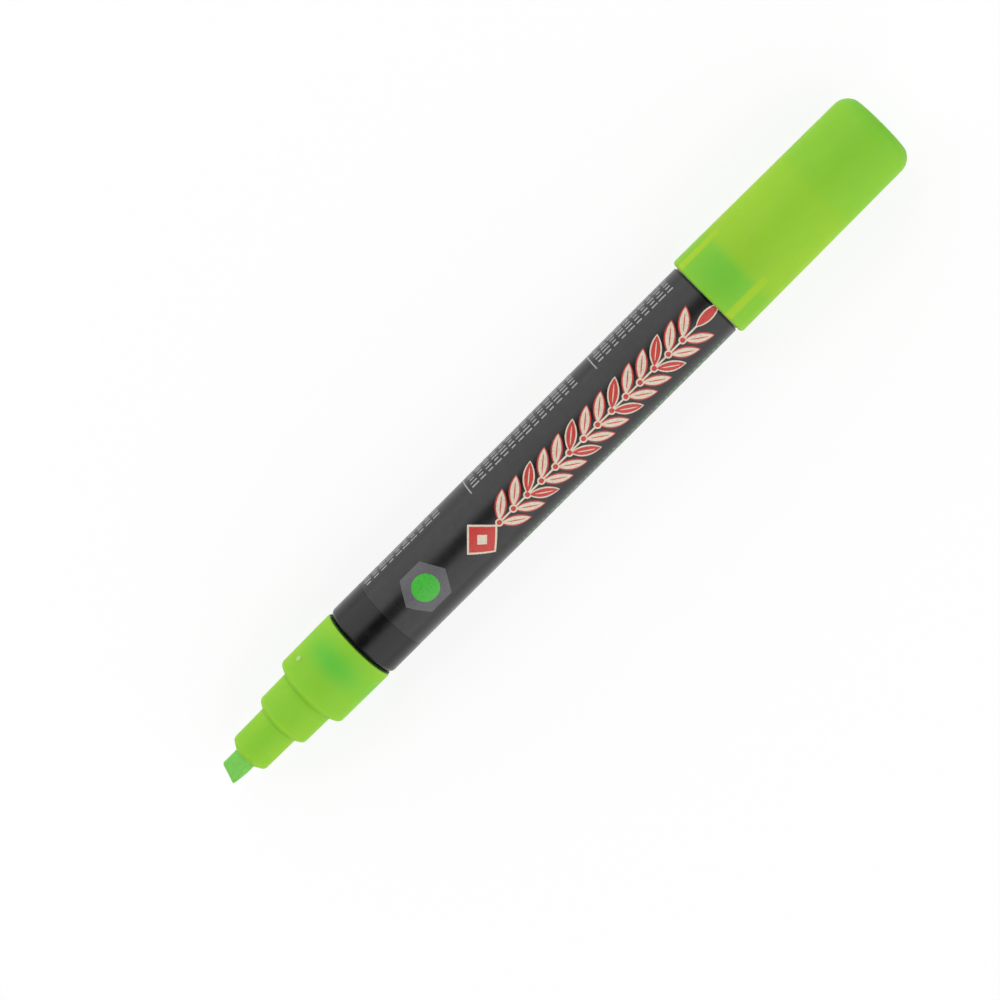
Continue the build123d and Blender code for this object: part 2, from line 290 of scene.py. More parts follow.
def true_radius(spot, rings):
    """The radius of the ring that a cut corner belongs to, or None."""
    place = round(spot.x / RING_STEP)
    near = [radius for step in (-1, 0, 1) for radius in rings.get(place + step, ())
            if abs(radius - spot.y) < FACET_DEPTH]
    return min(near, key=lambda radius: abs(radius - spot.y), default=None)


def read_outline(name):
    """The outline of a turned CAD solid, and whether it closes on itself away from the axis."""
    shape = bmesh.new()
    shape.from_mesh(nodes[name].data)
    bmesh.ops.remove_doubles(shape, verts=shape.verts, dist=SAME_PLACE)
    rings = ring_radii(shape)
    neighbours = cut_half(shape)
    ends = [vert for vert, joined in neighbours.items() if len(joined) == 1]
    start = ends[0] if ends else next(iter(neighbours))
    outline = []
    for vert in walk_along(neighbours, start):
        spot = from_axis(vert.co)
        radius = 0.0 if vert in ends else true_radius(spot, rings)
        if radius is None:
            continue
        spot.y = radius
        if not outline or (spot - outline[-1]).length > RING_STEP:
            outline.append(spot)
    shape.free()
    return outline, not ends


for name in ("nib_holder", "cap_shell"):
    print(name, "outline corners:", len(read_outline(name)[0]))

# %% [markdown]
# Moulded plastic has no razor edges, and a soft edge catches a thin line of light. So each sharp corner of
# an outline gets a small softening radius, kept as an attribute on its vertex. Long straight runs get a
# support beside each end, which keeps the smooth shading of a corner from spreading along the run.

# %% Soften an outline
SHARP_TURN = math.radians(25)
STRAIGHT_TURN = math.radians(0.4)
SUPPORT = 0.12 * MM
LONG_RUN = 8 * SUPPORT


def turn_at(outline, closed, index):
    """How far the outline turns at one corner."""
    if not closed and index in (0, len(outline) - 1):
        return 0.0
    here = outline[index]
    return (here - outline[index - 1]).angle(outline[(index + 1) % len(outline)] - here)


def outline_mesh(name, outline, closed, soften):
    """The outline as a chain of edges, with the softening radius of each corner as an attribute."""
    ends = () if closed else (0, len(outline) - 1)
    kept = [spot for i, spot in enumerate(outline)
            if i in ends or turn_at(outline, closed, i) > STRAIGHT_TURN]
    chain = []
    for i, spot in enumerate(kept):
        chain.append((spot, soften if turn_at(kept, closed, i) > SHARP_TURN else 0.0))
        if closed or i < len(kept) - 1:
            run = kept[(i + 1) % len(kept)] - spot
            if run.length > LONG_RUN:
                chain.append((spot + run.normalized() * SUPPORT, 0.0))
                chain.append((spot + run - run.normalized() * SUPPORT, 0.0))
    last = len(chain) - 1
    edges = [(i, i + 1) for i in range(last)] + ([(last, 0)] if closed else [])
    mesh = bpy.data.meshes.new(name)
    mesh.from_pydata([spot for spot, _ in chain], edges, [])
    radii = mesh.attributes.new("soften", "FLOAT", "POINT")
    radii.data.foreach_set("value", [radius for _, radius in chain])
    return mesh


print("corners sharper than", round(math.degrees(SHARP_TURN)), "degrees are softened")

# %% [markdown]
# The sweep itself is a Geometry Nodes tree, so one rule makes every turned piece. First come the helpers
# that each tree of this lesson shares: one opens a tree with named inputs, and one ends it in Realize
# Instances, smooth shading with crisp edges, and Set Material.

# %% Helpers for Geometry Nodes trees
SHARP_EDGE = math.radians(40)


def start_tree(name, inputs):
    """A Geometry Nodes tree with named inputs; gives the tree and its inputs' sockets."""
    tree = bpy.data.node_groups.new(name, "GeometryNodeTree")
    tree.interface.new_socket("Geometry", in_out="OUTPUT", socket_type="NodeSocketGeometry")
    tree.interface.new_socket("Geometry", in_out="INPUT", socket_type="NodeSocketGeometry")
    for label, kind in inputs.items():
        tree.interface.new_socket(label, in_out="INPUT", socket_type="NodeSocket" + kind)
    return tree, tree.nodes.new("NodeGroupInput").outputs


def finish_tree(tree, geometry, material):
    """Shades the result smooth except at its sharp edges, and ends the tree in its material."""
    whole = add_node(tree, "GeometryNodeRealizeInstances", {0: geometry}).outputs[0]
    smooth = add_node(tree, "GeometryNodeSetShadeSmooth", {0: whole}, domain="FACE").outputs[0]
    bend = add_node(tree, "GeometryNodeInputMeshEdgeAngle").outputs["Unsigned Angle"]
    sharp = calculate(tree, "GREATER_THAN", bend, SHARP_EDGE)
    creases = {0: smooth, "Selection": sharp, "Shade Smooth": False}
    edged = add_node(tree, "GeometryNodeSetShadeSmooth", creases, domain="EDGE").outputs[0]
    painted = add_node(tree, "GeometryNodeSetMaterial", {"Geometry": edged, "Material": material}).outputs[0]
    add_node(tree, "NodeGroupOutput", {0: painted})
    print("tree:", tree.name, "with", len(tree.nodes), "nodes")


def count_with(tree, operation, *values):
    """The output of one Integer Math node."""
    return add_node(tree, "FunctionNodeIntegerMath", dict(enumerate(values)), operation=operation).outputs[0]


def join_xyz(tree, x, y, z):
    """Three numbers as one vector."""
    return add_node(tree, "ShaderNodeCombineXYZ", {0: x, 1: y, 2: z}).outputs[0]


print(f"edges that bend more than {math.degrees(SHARP_EDGE):.0f} degrees are shaded crisp")

# %% [markdown]
# In the tree for turned pieces the chain becomes a curve and Fillet Curve rounds its corners. A flat grid
# with one row for each point of the rounded outline is then moved into place: a column of the grid is one
# step round the axis. Merging by distance closes the seam and the poles.

# %% A tree that turns an outline round the axis
turned_tree, turned_sizes = start_tree("turned_piece", {
    "Round Steps": "Int", "Steps Around": "Int", "Axis Height": "Float", "Closing Rows": "Int",
    "Material": "Material"})
chain = add_node(turned_tree, "GeometryNodeMeshToCurve", {0: turned_sizes["Geometry"]}).outputs[0]
soften = add_node(turned_tree, "GeometryNodeInputNamedAttribute", {"Name": "soften"}, data_type="FLOAT")
rounding = {"Curve": chain, "Count": turned_sizes["Round Steps"], "Radius": soften.outputs[0],
            "Limit Radius": True}
rounded = add_node(turned_tree, "GeometryNodeFilletCurve", rounding, mode="POLY").outputs[0]
domain = add_node(turned_tree, "GeometryNodeAttributeDomainSize", {0: rounded}, component="CURVE")
points = domain.outputs["Point Count"]
rows = count_with(turned_tree, "ADD", points, turned_sizes["Closing Rows"])
columns = count_with(turned_tree, "ADD", turned_sizes["Steps Around"], 1)
grid = add_node(turned_tree, "GeometryNodeMeshGrid", {"Vertices X": columns, "Vertices Y": rows})
index = add_node(turned_tree, "GeometryNodeInputIndex").outputs[0]
column = count_with(turned_tree, "DIVIDE_FLOOR", index, rows)
row = count_with(turned_tree, "MODULO", count_with(turned_tree, "MODULO", index, rows), points)
position = add_node(turned_tree, "GeometryNodeInputPosition").outputs[0]
sample = add_node(turned_tree, "GeometryNodeSampleIndex",
                  {"Geometry": rounded, "Value": position, "Index": row},
                  data_type="FLOAT_VECTOR", domain="POINT")
spot = split_xyz(turned_tree, sample.outputs[0])
turn_share = calculate(turned_tree, "DIVIDE", column, turned_sizes["Steps Around"])
turn = calculate(turned_tree, "MULTIPLY", turn_share, math.tau)
side = calculate(turned_tree, "MULTIPLY", spot["Y"], calculate(turned_tree, "COSINE", turn))
rise = calculate(turned_tree, "MULTIPLY", spot["Y"], calculate(turned_tree, "SINE", turn))
height = calculate(turned_tree, "ADD", rise, turned_sizes["Axis Height"])
place = join_xyz(turned_tree, spot["X"], side, height)
swept = add_node(turned_tree, "GeometryNodeSetPosition", {0: grid.outputs["Mesh"], "Position": place})
closed = add_node(turned_tree, "GeometryNodeMergeByDistance", {0: swept.outputs[0], "Distance": SAME_PLACE})
finish_tree(turned_tree, closed.outputs[0], turned_sizes["Material"])

# %% [markdown]
# A tree is run by a modifier whose inputs are set by their identifiers before anything is evaluated. The
# result is taken off as a plain mesh, its last doubles are merged, and its faces are made to point outwards.

# %% Run a tree and keep its mesh
def run_tree(name, mesh, tree, values):
    """Runs a tree over a mesh and returns a new object with the result; the first mesh is removed."""
    piece = bpy.data.objects.new(name, mesh)
    scene.collection.objects.link(piece)
    modifier = piece.modifiers.new("shape", "NODES")
    modifier.node_group = tree
    for item in tree.interface.items_tree:
        if item.in_out == "INPUT" and item.name in values:
            modifier[item.identifier] = values[item.name]
    graph = bpy.context.evaluated_depsgraph_get()
    shaped = bpy.data.meshes.new_from_object(piece.evaluated_get(graph))
    piece.modifiers.remove(modifier)
    piece.data = shaped
    shaped.name = name
    bpy.data.meshes.remove(mesh)
    return piece


def turn_outwards(piece):
    """Merges doubles, points every face outwards, and prints how many edges are left open."""
    shape = bmesh.new()
    shape.from_mesh(piece.data)
    bmesh.ops.remove_doubles(shape, verts=shape.verts, dist=SAME_PLACE)
    bmesh.ops.recalc_face_normals(shape, faces=shape.faces)
    open_edges = sum(not edge.is_manifold for edge in shape.edges)
    shape.to_mesh(piece.data)
    shape.free()
    print(piece.name, "faces", len(piece.data.polygons), "open edges", open_edges)


print("trees run over a mesh and leave a plain mesh")

# %% [markdown]
# With that, a turned piece is one call: read the outline, soften it, turn it. Each piece is then dressed: it
# rides on its body and replaces its imported solid, which is hidden.

# %% Turn a piece and dress it
EDGE_SOFTEN = 0.06 * MM
ROUND_STEPS = 3
STEPS_AROUND = 256


def turned_piece(node, material, steps=STEPS_AROUND, outline=None, closed=False):
    """Turns a CAD node's outline, or a given one, into a smooth piece of the same name."""
    if outline is None:
        outline, closed = read_outline(node)
    values = {"Round Steps": ROUND_STEPS, "Steps Around": steps, "Axis Height": axis_height,
              "Closing Rows": int(closed), "Material": material}
    chain = outline_mesh(node, outline, closed, EDGE_SOFTEN)
    piece = run_tree(node + "_turned", chain, turned_tree, values)
    turn_outwards(piece)
    return piece


def dress(piece, body, slot, *replaced):
    """Fixes a piece to its body and hides the CAD nodes that it stands for; the slot is not used."""
    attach(piece, body)
    if replaced:
        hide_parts(*replaced)


print("turned pieces have", STEPS_AROUND, "steps round the axis")

# %% [markdown]
# ## Finishes
# Every finish is one Principled shader. What is the same all over is written on the shader's own sockets,
# and what varies comes from noise on Object coordinates, which are metres here, so a scale of 1000 is about
# one change a millimetre.

# %% Helpers for finishes
NOISE_LOW = 0.3
NOISE_HIGH = 0.7


def new_finish(name, surface):
    """A material with its uniform values set; gives it, its tree, its shader and Object coordinates."""
    material = bpy.data.materials.new(name)
    material.use_nodes = True
    tree = material.node_tree
    shader = tree.nodes["Principled BSDF"]
    for socket, value in surface.items():
        shader.inputs[socket].default_value = value
    return material, tree, shader, add_node(tree, "ShaderNodeTexCoord").outputs["Object"]


def noise(tree, place, scale, detail=2.0, stretch=(1, 1, 1)):
    """Noise from 0 to 1; a stretch under 1 along an axis draws it out that way."""
    stretched = add_node(tree, "ShaderNodeMapping", {"Vector": place, "Scale": stretch}).outputs[0]
    inputs = {"Vector": stretched, "Scale": scale, "Detail": detail}
    return add_node(tree, "ShaderNodeTexNoise", inputs).outputs[0]


def blend_colours(tree, share, first, second):
    """A mix of two colours: the first where the share is 0, the second where it is 1."""
    return add_node(tree, "ShaderNodeMix", {0: share, 6: first, 7: second}, data_type="RGBA").outputs[2]


def paint(tree, shader, colour):
    """Gives the surface a colour that varies."""
    tree.links.new(colour, shader.inputs["Base Color"])


def bump(tree, shader, height, depth):
    """Raises the surface's shading by a height from 0 to 1, of this depth in metres."""
    normal = add_node(tree, "ShaderNodeBump", {"Height": height, "Distance": depth}).outputs[0]
    tree.links.new(normal, shader.inputs["Normal"])


def link_roughness(tree, shader, value, low, high):
    """Varies the gloss between two roughnesses; nearly all of a noise lies between its low and high."""
    tree.links.new(ease(tree, value, NOISE_LOW, NOISE_HIGH, low, high), shader.inputs["Roughness"])


print("helpers for finishes: new_finish, noise, blend_colours, paint, bump, link_roughness")

# %% [markdown]
# Most plain mouldings need the same recipe: a colour that drifts between two near shades in small clouds, a
# gloss that drifts with it, and sometimes a fine grain that only shows in the highlights.

# %% A clouded finish
def clouded_finish(name, surface, colours, scale, detail, gloss, grain=None):
    """Colour and gloss that drift together; the grain is the scale and the depth of a bump."""
    material, tree, shader, place = new_finish(name, surface)
    cloud = noise(tree, place, scale, detail)
    paint(tree, shader, blend_colours(tree, cloud, *colours))
    link_roughness(tree, shader, cloud, *gloss)
    if grain:
        grain_scale, depth = grain
        bump(tree, shader, noise(tree, place, grain_scale), depth)
    print("finish:", name)
    return material


print("recipe for plain mouldings: clouded_finish")

# %% [markdown]
# The cap and the front section are moulded in a translucent yellow-green. Light goes in and comes out a
# millimetre or so away, so thin walls glow. Transmission would make the plastic clear as glass, while
# subsurface scattering does what the milky plastic does. Faint flow marks run along the moulding, and the
# surface has a fine satin.

# %% Green plastic
GREEN = (0.30, 0.65, 0.046, 1)
DEEP_GREEN = (0.085, 0.60, 0.07, 1)
YELLOW_GREEN = (0.43, 0.70, 0.036, 1)
# painted shade for the groove behind the collar
JOINT_SHADE_GREEN = (0.024, 0.065, 0.013, 1)
GREEN_SURFACE = {"IOR": 1.49, "Specular IOR Level": 0.2, "Subsurface Weight": 0.85,
                 "Subsurface Radius": (1.0, 1.0, 0.4), "Subsurface Scale": 2.2 * MM}
FLOW_STRETCH = (0.25, 1, 1)
FLOW_SHARE = 0.25
SATIN_DEPTH = 0.006 * MM


def green_plastic(name, pale=None, deep=None, dark=None):
    """Translucent green; the masks say where painted light makes it yellower, and where painted shade makes it
    deeper or dark.
    """
    material, tree, shader, place = new_finish(name, GREEN_SURFACE)
    flow = noise(tree, place, scale=260, detail=3, stretch=FLOW_STRETCH)
    flow_marks = ease(tree, flow, low=0.35, high=0.75, last=FLOW_SHARE)
    colour = blend_colours(tree, flow_marks, GREEN, YELLOW_GREEN)
    for mask, tint in ((pale, YELLOW_GREEN), (deep, DEEP_GREEN), (dark, JOINT_SHADE_GREEN)):
        if mask:
            colour = blend_colours(tree, mask(tree, place), colour, tint)
    paint(tree, shader, colour)
    link_roughness(tree, shader, noise(tree, place, scale=900), low=0.5, high=0.62)
    bump(tree, shader, noise(tree, place, scale=2600, detail=3), SATIN_DEPTH)
    print("finish:", name)
    return material


print("recipe for translucent mouldings: green_plastic")

# %% [markdown]
# What lies behind the translucent wall is painted in as tints of painted light and painted shade, and the
# shade in the joint behind the collar is painted in too. An image texture could paint that, but a mask made
# from the Object coordinates needs no unwrapping and stays sharp at any size. One helper fades along the pen,
# one gives the angle round its axis, and one swells and fades on the way round.

# %% Masks by place
def along_x(tree, place, low, high, fade):
    """1 between two places along the pen, fading to 0 outside them."""
    x = split_xyz(tree, place)["X"]
    rising = ease(tree, x, low - fade, low + fade)
    falling = ease(tree, x, high - fade, high + fade, 1.0, 0.0)
    return calculate(tree, "MULTIPLY", rising, falling)


def round_axis(tree, place):
    """The angle round the pen's axis, from straight up towards -Y."""
    spot = split_xyz(tree, place)
    height = calculate(tree, "SUBTRACT", spot["Z"], axis_height)
    return calculate(tree, "ARCTAN2", calculate(tree, "MULTIPLY", spot["Y"], -1.0), height)


def swell(tree, place, count, first, most, least):
    """Most at a count of places round the axis, and least half-way between them."""
    from_first = calculate(tree, "SUBTRACT", round_axis(tree, place), first)
    wave = calculate(tree, "COSINE", calculate(tree, "MULTIPLY", from_first, count))
    return calculate(tree, "MULTIPLY_ADD", wave, (most - least) / 2, (most + least) / 2)


print("masks by place: along_x, round_axis, swell")

# %% [markdown]
# ## Front section
# The green front section steps down from the collar to the neck and the nose. Behind the collar's wall sits
# the white valve seat, a tight ring, and over it the plastic is painted deeper and greener, as painted shade
# for the valve seen through the wall. The painted shade swells and fades three times as it goes round the
# ring. The collar's rounded rear edge, in the joint with the barrel, is painted dark, as painted shade in the
# groove.

# %% Front section
BAND_COUNT = 3
BAND_TURN = math.radians(-8)
BAND_SHARE = 0.66
BAND_LEAST_SHARE = 0.2
BAND_FRONT_SETBACK = 1.0 * MM
BAND_REAR_SETBACK = 1.35 * MM
BAND_FADE = 2.3 * MM
JOINT_DEPTH = 0.34 * MM
JOINT_FADE = 0.1 * MM

seat_low, seat_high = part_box("valve_seat")
joint_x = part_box("barrel_tube")[0].x


def painted_valve_shade(tree, place):
    """Painted shade of the valve seen through the wall, deepest behind the middle of its seat."""
    front = seat_low.x + BAND_FRONT_SETBACK
    rear = seat_high.x + BAND_REAR_SETBACK
    band = along_x(tree, place, front, rear, BAND_FADE)
    around = swell(tree, place, BAND_COUNT, BAND_TURN, BAND_SHARE, BAND_LEAST_SHARE)
    return calculate(tree, "MULTIPLY", band, around)


def painted_joint_shade(tree, place):
    """Painted shade in the groove: 1 on the rear edge of the collar, where it dips towards the barrel."""
    return along_x(tree, place, joint_x - JOINT_DEPTH, joint_x + JOINT_DEPTH, JOINT_FADE)


# The front section's green carries painted shade over the valve and in the joint.
holder = turned_piece("nib_holder", green_plastic("green_plastic_front", deep=painted_valve_shade, dark=painted_joint_shade))
dress(holder, "barrel", "green_plastic", "nib_holder")

# %% [markdown]
# The gate mark and the nib aren't round, so they can't be turned. Each is a stack of rings of points, and
# one helper closes a skin over such a stack. It joins neighbouring rings by four-cornered faces and caps
# both ends.

# %% A skin over rings of points
def skin_rings(name, rings, material):
    """A closed, smooth piece over rings that all have the same count of points."""
    shape = bmesh.new()
    loops = [[shape.verts.new(point) for point in ring] for ring in rings]
    for low, high in zip(loops, loops[1:]):
        for i in range(len(low)):
            j = (i + 1) % len(low)
            shape.faces.new((low[i], low[j], high[j], high[i]))
    shape.faces.new(loops[0])
    shape.faces.new(loops[-1])
    for face in shape.faces:
        face.smooth = True
    mesh = bpy.data.meshes.new(name)
    shape.to_mesh(mesh)
    shape.free()
    piece = add_piece(name, mesh, material)
    turn_outwards(piece)
    return piece


print("helper for stacks of rings: skin_rings")

# %% [markdown]
# Where the plastic ran into the mould, the cut-off gate leaves a small stub on the collar, coloured a paler
# green than the collar. It is an oval dome with a flattened top. A squashed sphere would be too round, so it
# is made of a few rings that shrink as they rise along the collar's normal. Its foot is sunk a little into the
# collar.

# %% Gate mark
GATE_BEFORE_JOINT = 8.95 * MM
GATE_TURN = math.radians(50.5)
GATE_LONG = 0.56 * MM
GATE_WIDE = 0.5 * MM
GATE_SINK = 0.04 * MM
GATE_RING_SHARES = (1.0, 1.0, 0.94, 0.8, 0.55, 0.3, 0.05)
GATE_RING_RISES = (-0.12 * MM, 0.02 * MM, 0.06 * MM, 0.085 * MM, 0.09 * MM, 0.075 * MM, 0.07 * MM)
GATE_STEPS = 24
PALE_GREEN = (0.42, 0.70, 0.14, 1)
WHITISH_GREEN = (0.52, 0.76, 0.26, 1)

holder_low, holder_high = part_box("nib_holder")
collar_radius = (holder_high.y - holder_low.y) / 2
outward = Vector((0, math.sin(GATE_TURN), math.cos(GATE_TURN)))
around = Vector((0, outward.z, -outward.y))
foot = Vector((joint_x - GATE_BEFORE_JOINT, 0, axis_height)) + outward * (collar_radius - GATE_SINK)


def gate_ring(share, rise):
    """One oval ring of the gate, at a height over its foot."""
    ring = []
    for step in range(GATE_STEPS):
        turn = math.tau * step / GATE_STEPS
        lengthwise = Vector((GATE_LONG * share * math.cos(turn), 0, 0))
        crosswise = around * (GATE_WIDE * share * math.sin(turn))
        ring.append(foot + lengthwise + crosswise + outward * rise)
    return ring


gate_pale = clouded_finish("gate_pale", {"IOR": 1.49}, (PALE_GREEN, WHITISH_GREEN), scale=4000, detail=2,
                           gloss=(0.4, 0.6))
gate_rings = [gate_ring(share, rise) for share, rise in zip(GATE_RING_SHARES, GATE_RING_RISES)]
gate = skin_rings("gate_mark", gate_rings, gate_pale)
dress(gate, "barrel", "green_plastic")

# %% [markdown]
# ## Nib
# The nib is a pressed fibre rod, ground to a wedge and cut at a slant, so it writes broad or fine lines. It
# could be cut from a cylinder with Booleans, which leave hard edges. Here its shape is a rule instead: at
# each place along the rod, the section is the smooth meet of a circle and two wedge flats, and one of its
# sides bows in towards the tip.

# %% Nib by its rule
NIB_EDGE_HALF = 0.65 * MM
NIB_WEDGE_LENGTH = 5.2 * MM
NIB_SLANT = math.tan(math.radians(19.3))
NIB_SIDE_DROP = 0.4 * MM
NIB_SIDE_LENGTH = 4.0 * MM
NIB_MEET = 12
NIB_ROUNDS = 4

nib_low, nib_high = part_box("writing_nib")
nib_radius = (nib_high.y - nib_low.y) / 2
nib_length = nib_high.x - nib_low.x


def nib_section(x, angle):
    """Distance from the axis to the nib's side at x, measured from the tip."""
    half_thick = NIB_EDGE_HALF + (nib_radius - NIB_EDGE_HALF) * max(0.0, x) / NIB_WEDGE_LENGTH
    limits = (1 / nib_radius, abs(math.sin(angle)) / half_thick)
    return sum(limit ** NIB_MEET for limit in limits) ** (-1 / NIB_MEET)


def nib_bow(x, angle):
    """How much of its width the nib keeps at x: the side of the long corner bows in towards the tip."""
    drop = NIB_SIDE_DROP * max(0.0, 1 - x / NIB_SIDE_LENGTH) ** 2
    return 1 - drop / nib_radius if math.cos(angle) < 0 else 1.0


def nib_point(depth, inset, angle):
    """A point on the nib: depth behind the slanted cut, and inset towards the axis."""
    lead = nib_radius - NIB_SIDE_DROP
    fade = max(0.0, 1 - depth / (2 * NIB_WEDGE_LENGTH))
    x = depth
    for _ in range(NIB_ROUNDS):
        reach = max(0.0, nib_section(x, angle) - inset)
        across = reach * math.cos(angle) * nib_bow(x, angle)
        x = depth + (across + lead) * NIB_SLANT * fade
    x = min(x, nib_length)
    return Vector((nib_low.x + x, across, axis_height + reach * math.sin(angle)))


print(f"nib: radius {nib_radius / MM:.2f} mm, length {nib_length / MM:.2f} mm")

# %% [markdown]
# The rings of the nib start in the middle of the slanted cut and widen to its edge, which is a little
# rounded by use. They then follow the rod, closer together near the tip where the shape changes most, and
# shrink again over the rounded rear end. The slant of the cut fades out along the rod.

# %% Rings of the nib
NIB_WORN_EDGE = 0.14 * MM
NIB_REAR_ROUND = 0.5 * MM
NIB_CUT_SHARES = (0.999, 0.8, 0.6, 0.4, 0.25)
NIB_REAR_SHARES = (0.6, 0.999)
NIB_EDGE_RINGS = 5
NIB_ROD_RINGS = 40
NIB_ROD_CROWDING = 1.5
NIB_REAR_RINGS = 6
NIB_STEPS = 160


def nib_rings():
    """Depth and inset of each ring, from the middle of the cut to the middle of the rear end."""
    rings = [(0.0, nib_radius * share) for share in NIB_CUT_SHARES]
    for step in range(NIB_EDGE_RINGS, -1, -1):
        lean = math.radians(90 * step / NIB_EDGE_RINGS)
        rings.append((NIB_WORN_EDGE * (1 - math.sin(lean)), NIB_WORN_EDGE * (1 - math.cos(lean))))
    rod_end = nib_length - NIB_REAR_ROUND
    for step in range(1, NIB_ROD_RINGS + 1):
        way = (step / NIB_ROD_RINGS) ** NIB_ROD_CROWDING
        rings.append((NIB_WORN_EDGE + (rod_end - NIB_WORN_EDGE) * way, 0.0))
    for step in range(1, NIB_REAR_RINGS + 1):
        lean = math.radians(90 * step / NIB_REAR_RINGS)
        rings.append((rod_end + NIB_REAR_ROUND * math.sin(lean), NIB_REAR_ROUND * (1 - math.cos(lean))))
    return rings + [(nib_length, nib_radius * share) for share in NIB_REAR_SHARES]


def nib_ring(depth, inset):
    """The points of one ring."""
    return [nib_point(depth, inset, math.tau * step / NIB_STEPS) for step in range(NIB_STEPS)]


print("nib:", len(nib_rings()), "rings of", NIB_STEPS, "points")

# %% [markdown]
# Pressed fibre is matte. Fine strands run along the rod, and the ink that has soaked in is a little bluer
# and milkier than the plastic, in patches. Real strands would be far too many, so a noise that is drawn out
# along the rod stands for them, in the colour and as a bump.

# %% Nib fibre
NIB_INK = (0.2, 0.63, 0.085, 1)
NIB_PALE = (0.245, 0.67, 0.125, 1)
NIB_SURFACE = {"IOR": 1.4, "Specular IOR Level": 0.25, "Sheen Weight": 0.15}
STRAND_STRETCH = (0.06, 1, 1)
STRAND_DEPTH = 0.03 * MM

material, tree, shader, place = new_finish("nib_fibre", NIB_SURFACE)
strands = noise(tree, place, scale=9000, detail=3, stretch=STRAND_STRETCH)
patches = noise(tree, place, scale=1400)
soaked = calculate(tree, "MULTIPLY", calculate(tree, "ADD", strands, patches), 0.5)
paint(tree, shader, blend_colours(tree, ease(tree, soaked, low=0.38, high=0.64), NIB_INK, NIB_PALE))
link_roughness(tree, shader, patches, low=0.75, high=0.9)
bump(tree, shader, strands, STRAND_DEPTH)
nib = skin_rings("writing_nib_fibre", [nib_ring(depth, inset) for depth, inset in nib_rings()], material)
dress(nib, "nib", "nib_fibre", "writing_nib")

# %% [markdown]
# ## Barrel
# The barrel is a black tube with a shallow recess for the label, a rounded front rim beside the collar and a
# reduced tail under the cap. Only the front few millimetres and the tail show, as bare black plastic. It is
# turned from its solid's outline, as the front section is, so the recess and the rims stay true.

# %% Barrel tube
BARREL_BLACK = (0.002, 0.002, 0.003, 1)
BARREL_GREY = (0.005, 0.005, 0.006, 1)
BARREL_GRAIN_DEPTH = 0.003 * MM

barrel_black = clouded_finish("barrel_black", {"IOR": 1.49, "Specular IOR Level": 0.42},
                              (BARREL_BLACK, BARREL_GREY), scale=500, detail=3, gloss=(0.2, 0.3),
                              grain=(3000, BARREL_GRAIN_DEPTH))
barrel = turned_piece("barrel_tube", barrel_black)
dress(barrel, "barrel", "barrel_plastic", "barrel_tube")

# %% [markdown]
# A plug closes the tail of the barrel. It shows only when the cap is pulled off, as a green end, and it is
# one more turned piece in the green plastic, without any tint by place.

# %% Tail plug
plug = turned_piece("tail_plug", green_plastic("green_plastic_plug"))
dress(plug, "barrel", "green_plastic", "tail_plug")

# %% [markdown]
# ## Label film
# The label is a printed film wrapped once round the barrel, its last few millimetres lapped over the start.
# So it is one closed sheet with an inside and an outside, and the end that is lapped over dips under the
# other. A loop across the sheet is swept along the barrel in a few stations.

# %% Label film
FILM_THICK = 0.05 * MM
FILM_SETBACK = 0.03 * MM
FILM_LAP = math.radians(18)
FILM_LAP_GAP = 0.01 * MM
FILM_DIP = math.radians(8)
FILM_SEAM = math.radians(215)
FILM_STEPS = 300
FILM_STATIONS = 24

label_low, label_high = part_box("label_sleeve")
film_length = label_high.x - label_low.x
film_radius = (label_high.y - label_low.y) / 2 - FILM_SETBACK


def film_reach(share):
    """The film's outer radius at a share of its wrap, lower where the start lies under the end."""
    past_lap = (share * (math.tau + FILM_LAP) - FILM_LAP) / FILM_DIP
    ramp = min(1.0, max(0.0, past_lap))
    return film_radius - (FILM_THICK + FILM_LAP_GAP) * (1 - ramp * ramp * (3 - 2 * ramp))


def film_loop(x):
    """One closed loop across the film at x: outside, then back along the inside."""
    outside = []
    inside = []
    for step in range(FILM_STEPS + 1):
        share = step / FILM_STEPS
        turn = FILM_SEAM + share * (math.tau + FILM_LAP)
        for reach, side in ((film_reach(share), outside), (film_reach(share) - FILM_THICK, inside)):
            side.append((x, reach * math.sin(turn), axis_height + reach * math.cos(turn)))
    return outside + inside[::-1]


def film_faces():
    """Faces between neighbouring loops, and across the sheet's thickness at its front and rear."""
    around = 2 * (FILM_STEPS + 1)
    faces = []
    for station in range(FILM_STATIONS):
        first, last = station * around, (station + 1) * around
        for i in range(around):
            j = (i + 1) % around
            faces.append((first + i, first + j, last + j, last + i))
    for first in (0, FILM_STATIONS * around):
        faces += [(first + i, first + i + 1, first + around - 2 - i, first + around - 1 - i)
                  for i in range(FILM_STEPS)]
    return faces


print(f"film: {film_length / MM:.2f} mm long, radius {film_radius / MM:.2f} mm")

# %% [markdown]
# The film is printed charcoal, glossy enough to mirror the soft boxes, with the slight waviness that a
# wrapped film has and a few handling marks in its gloss.

# %% Film finish
CHARCOAL = (0.011, 0.011, 0.012, 1)
CHARCOAL_LIGHT = (0.016, 0.016, 0.017, 1)
MARK_STRETCH = (0.4, 1, 1)
WAVE_STRETCH = (0.5, 1, 1)
WAVE_DEPTH = 0.02 * MM

material, tree, shader, place = new_finish("label_charcoal", {"IOR": 1.5})
mottle = ease(tree, noise(tree, place, scale=700, detail=4), low=0.35, high=0.7)
paint(tree, shader, blend_colours(tree, mottle, CHARCOAL, CHARCOAL_LIGHT))
marks = noise(tree, place, scale=240, detail=3, stretch=MARK_STRETCH)
link_roughness(tree, shader, marks, low=0.22, high=0.32)
bump(tree, shader, noise(tree, place, scale=130, detail=1, stretch=WAVE_STRETCH), WAVE_DEPTH)

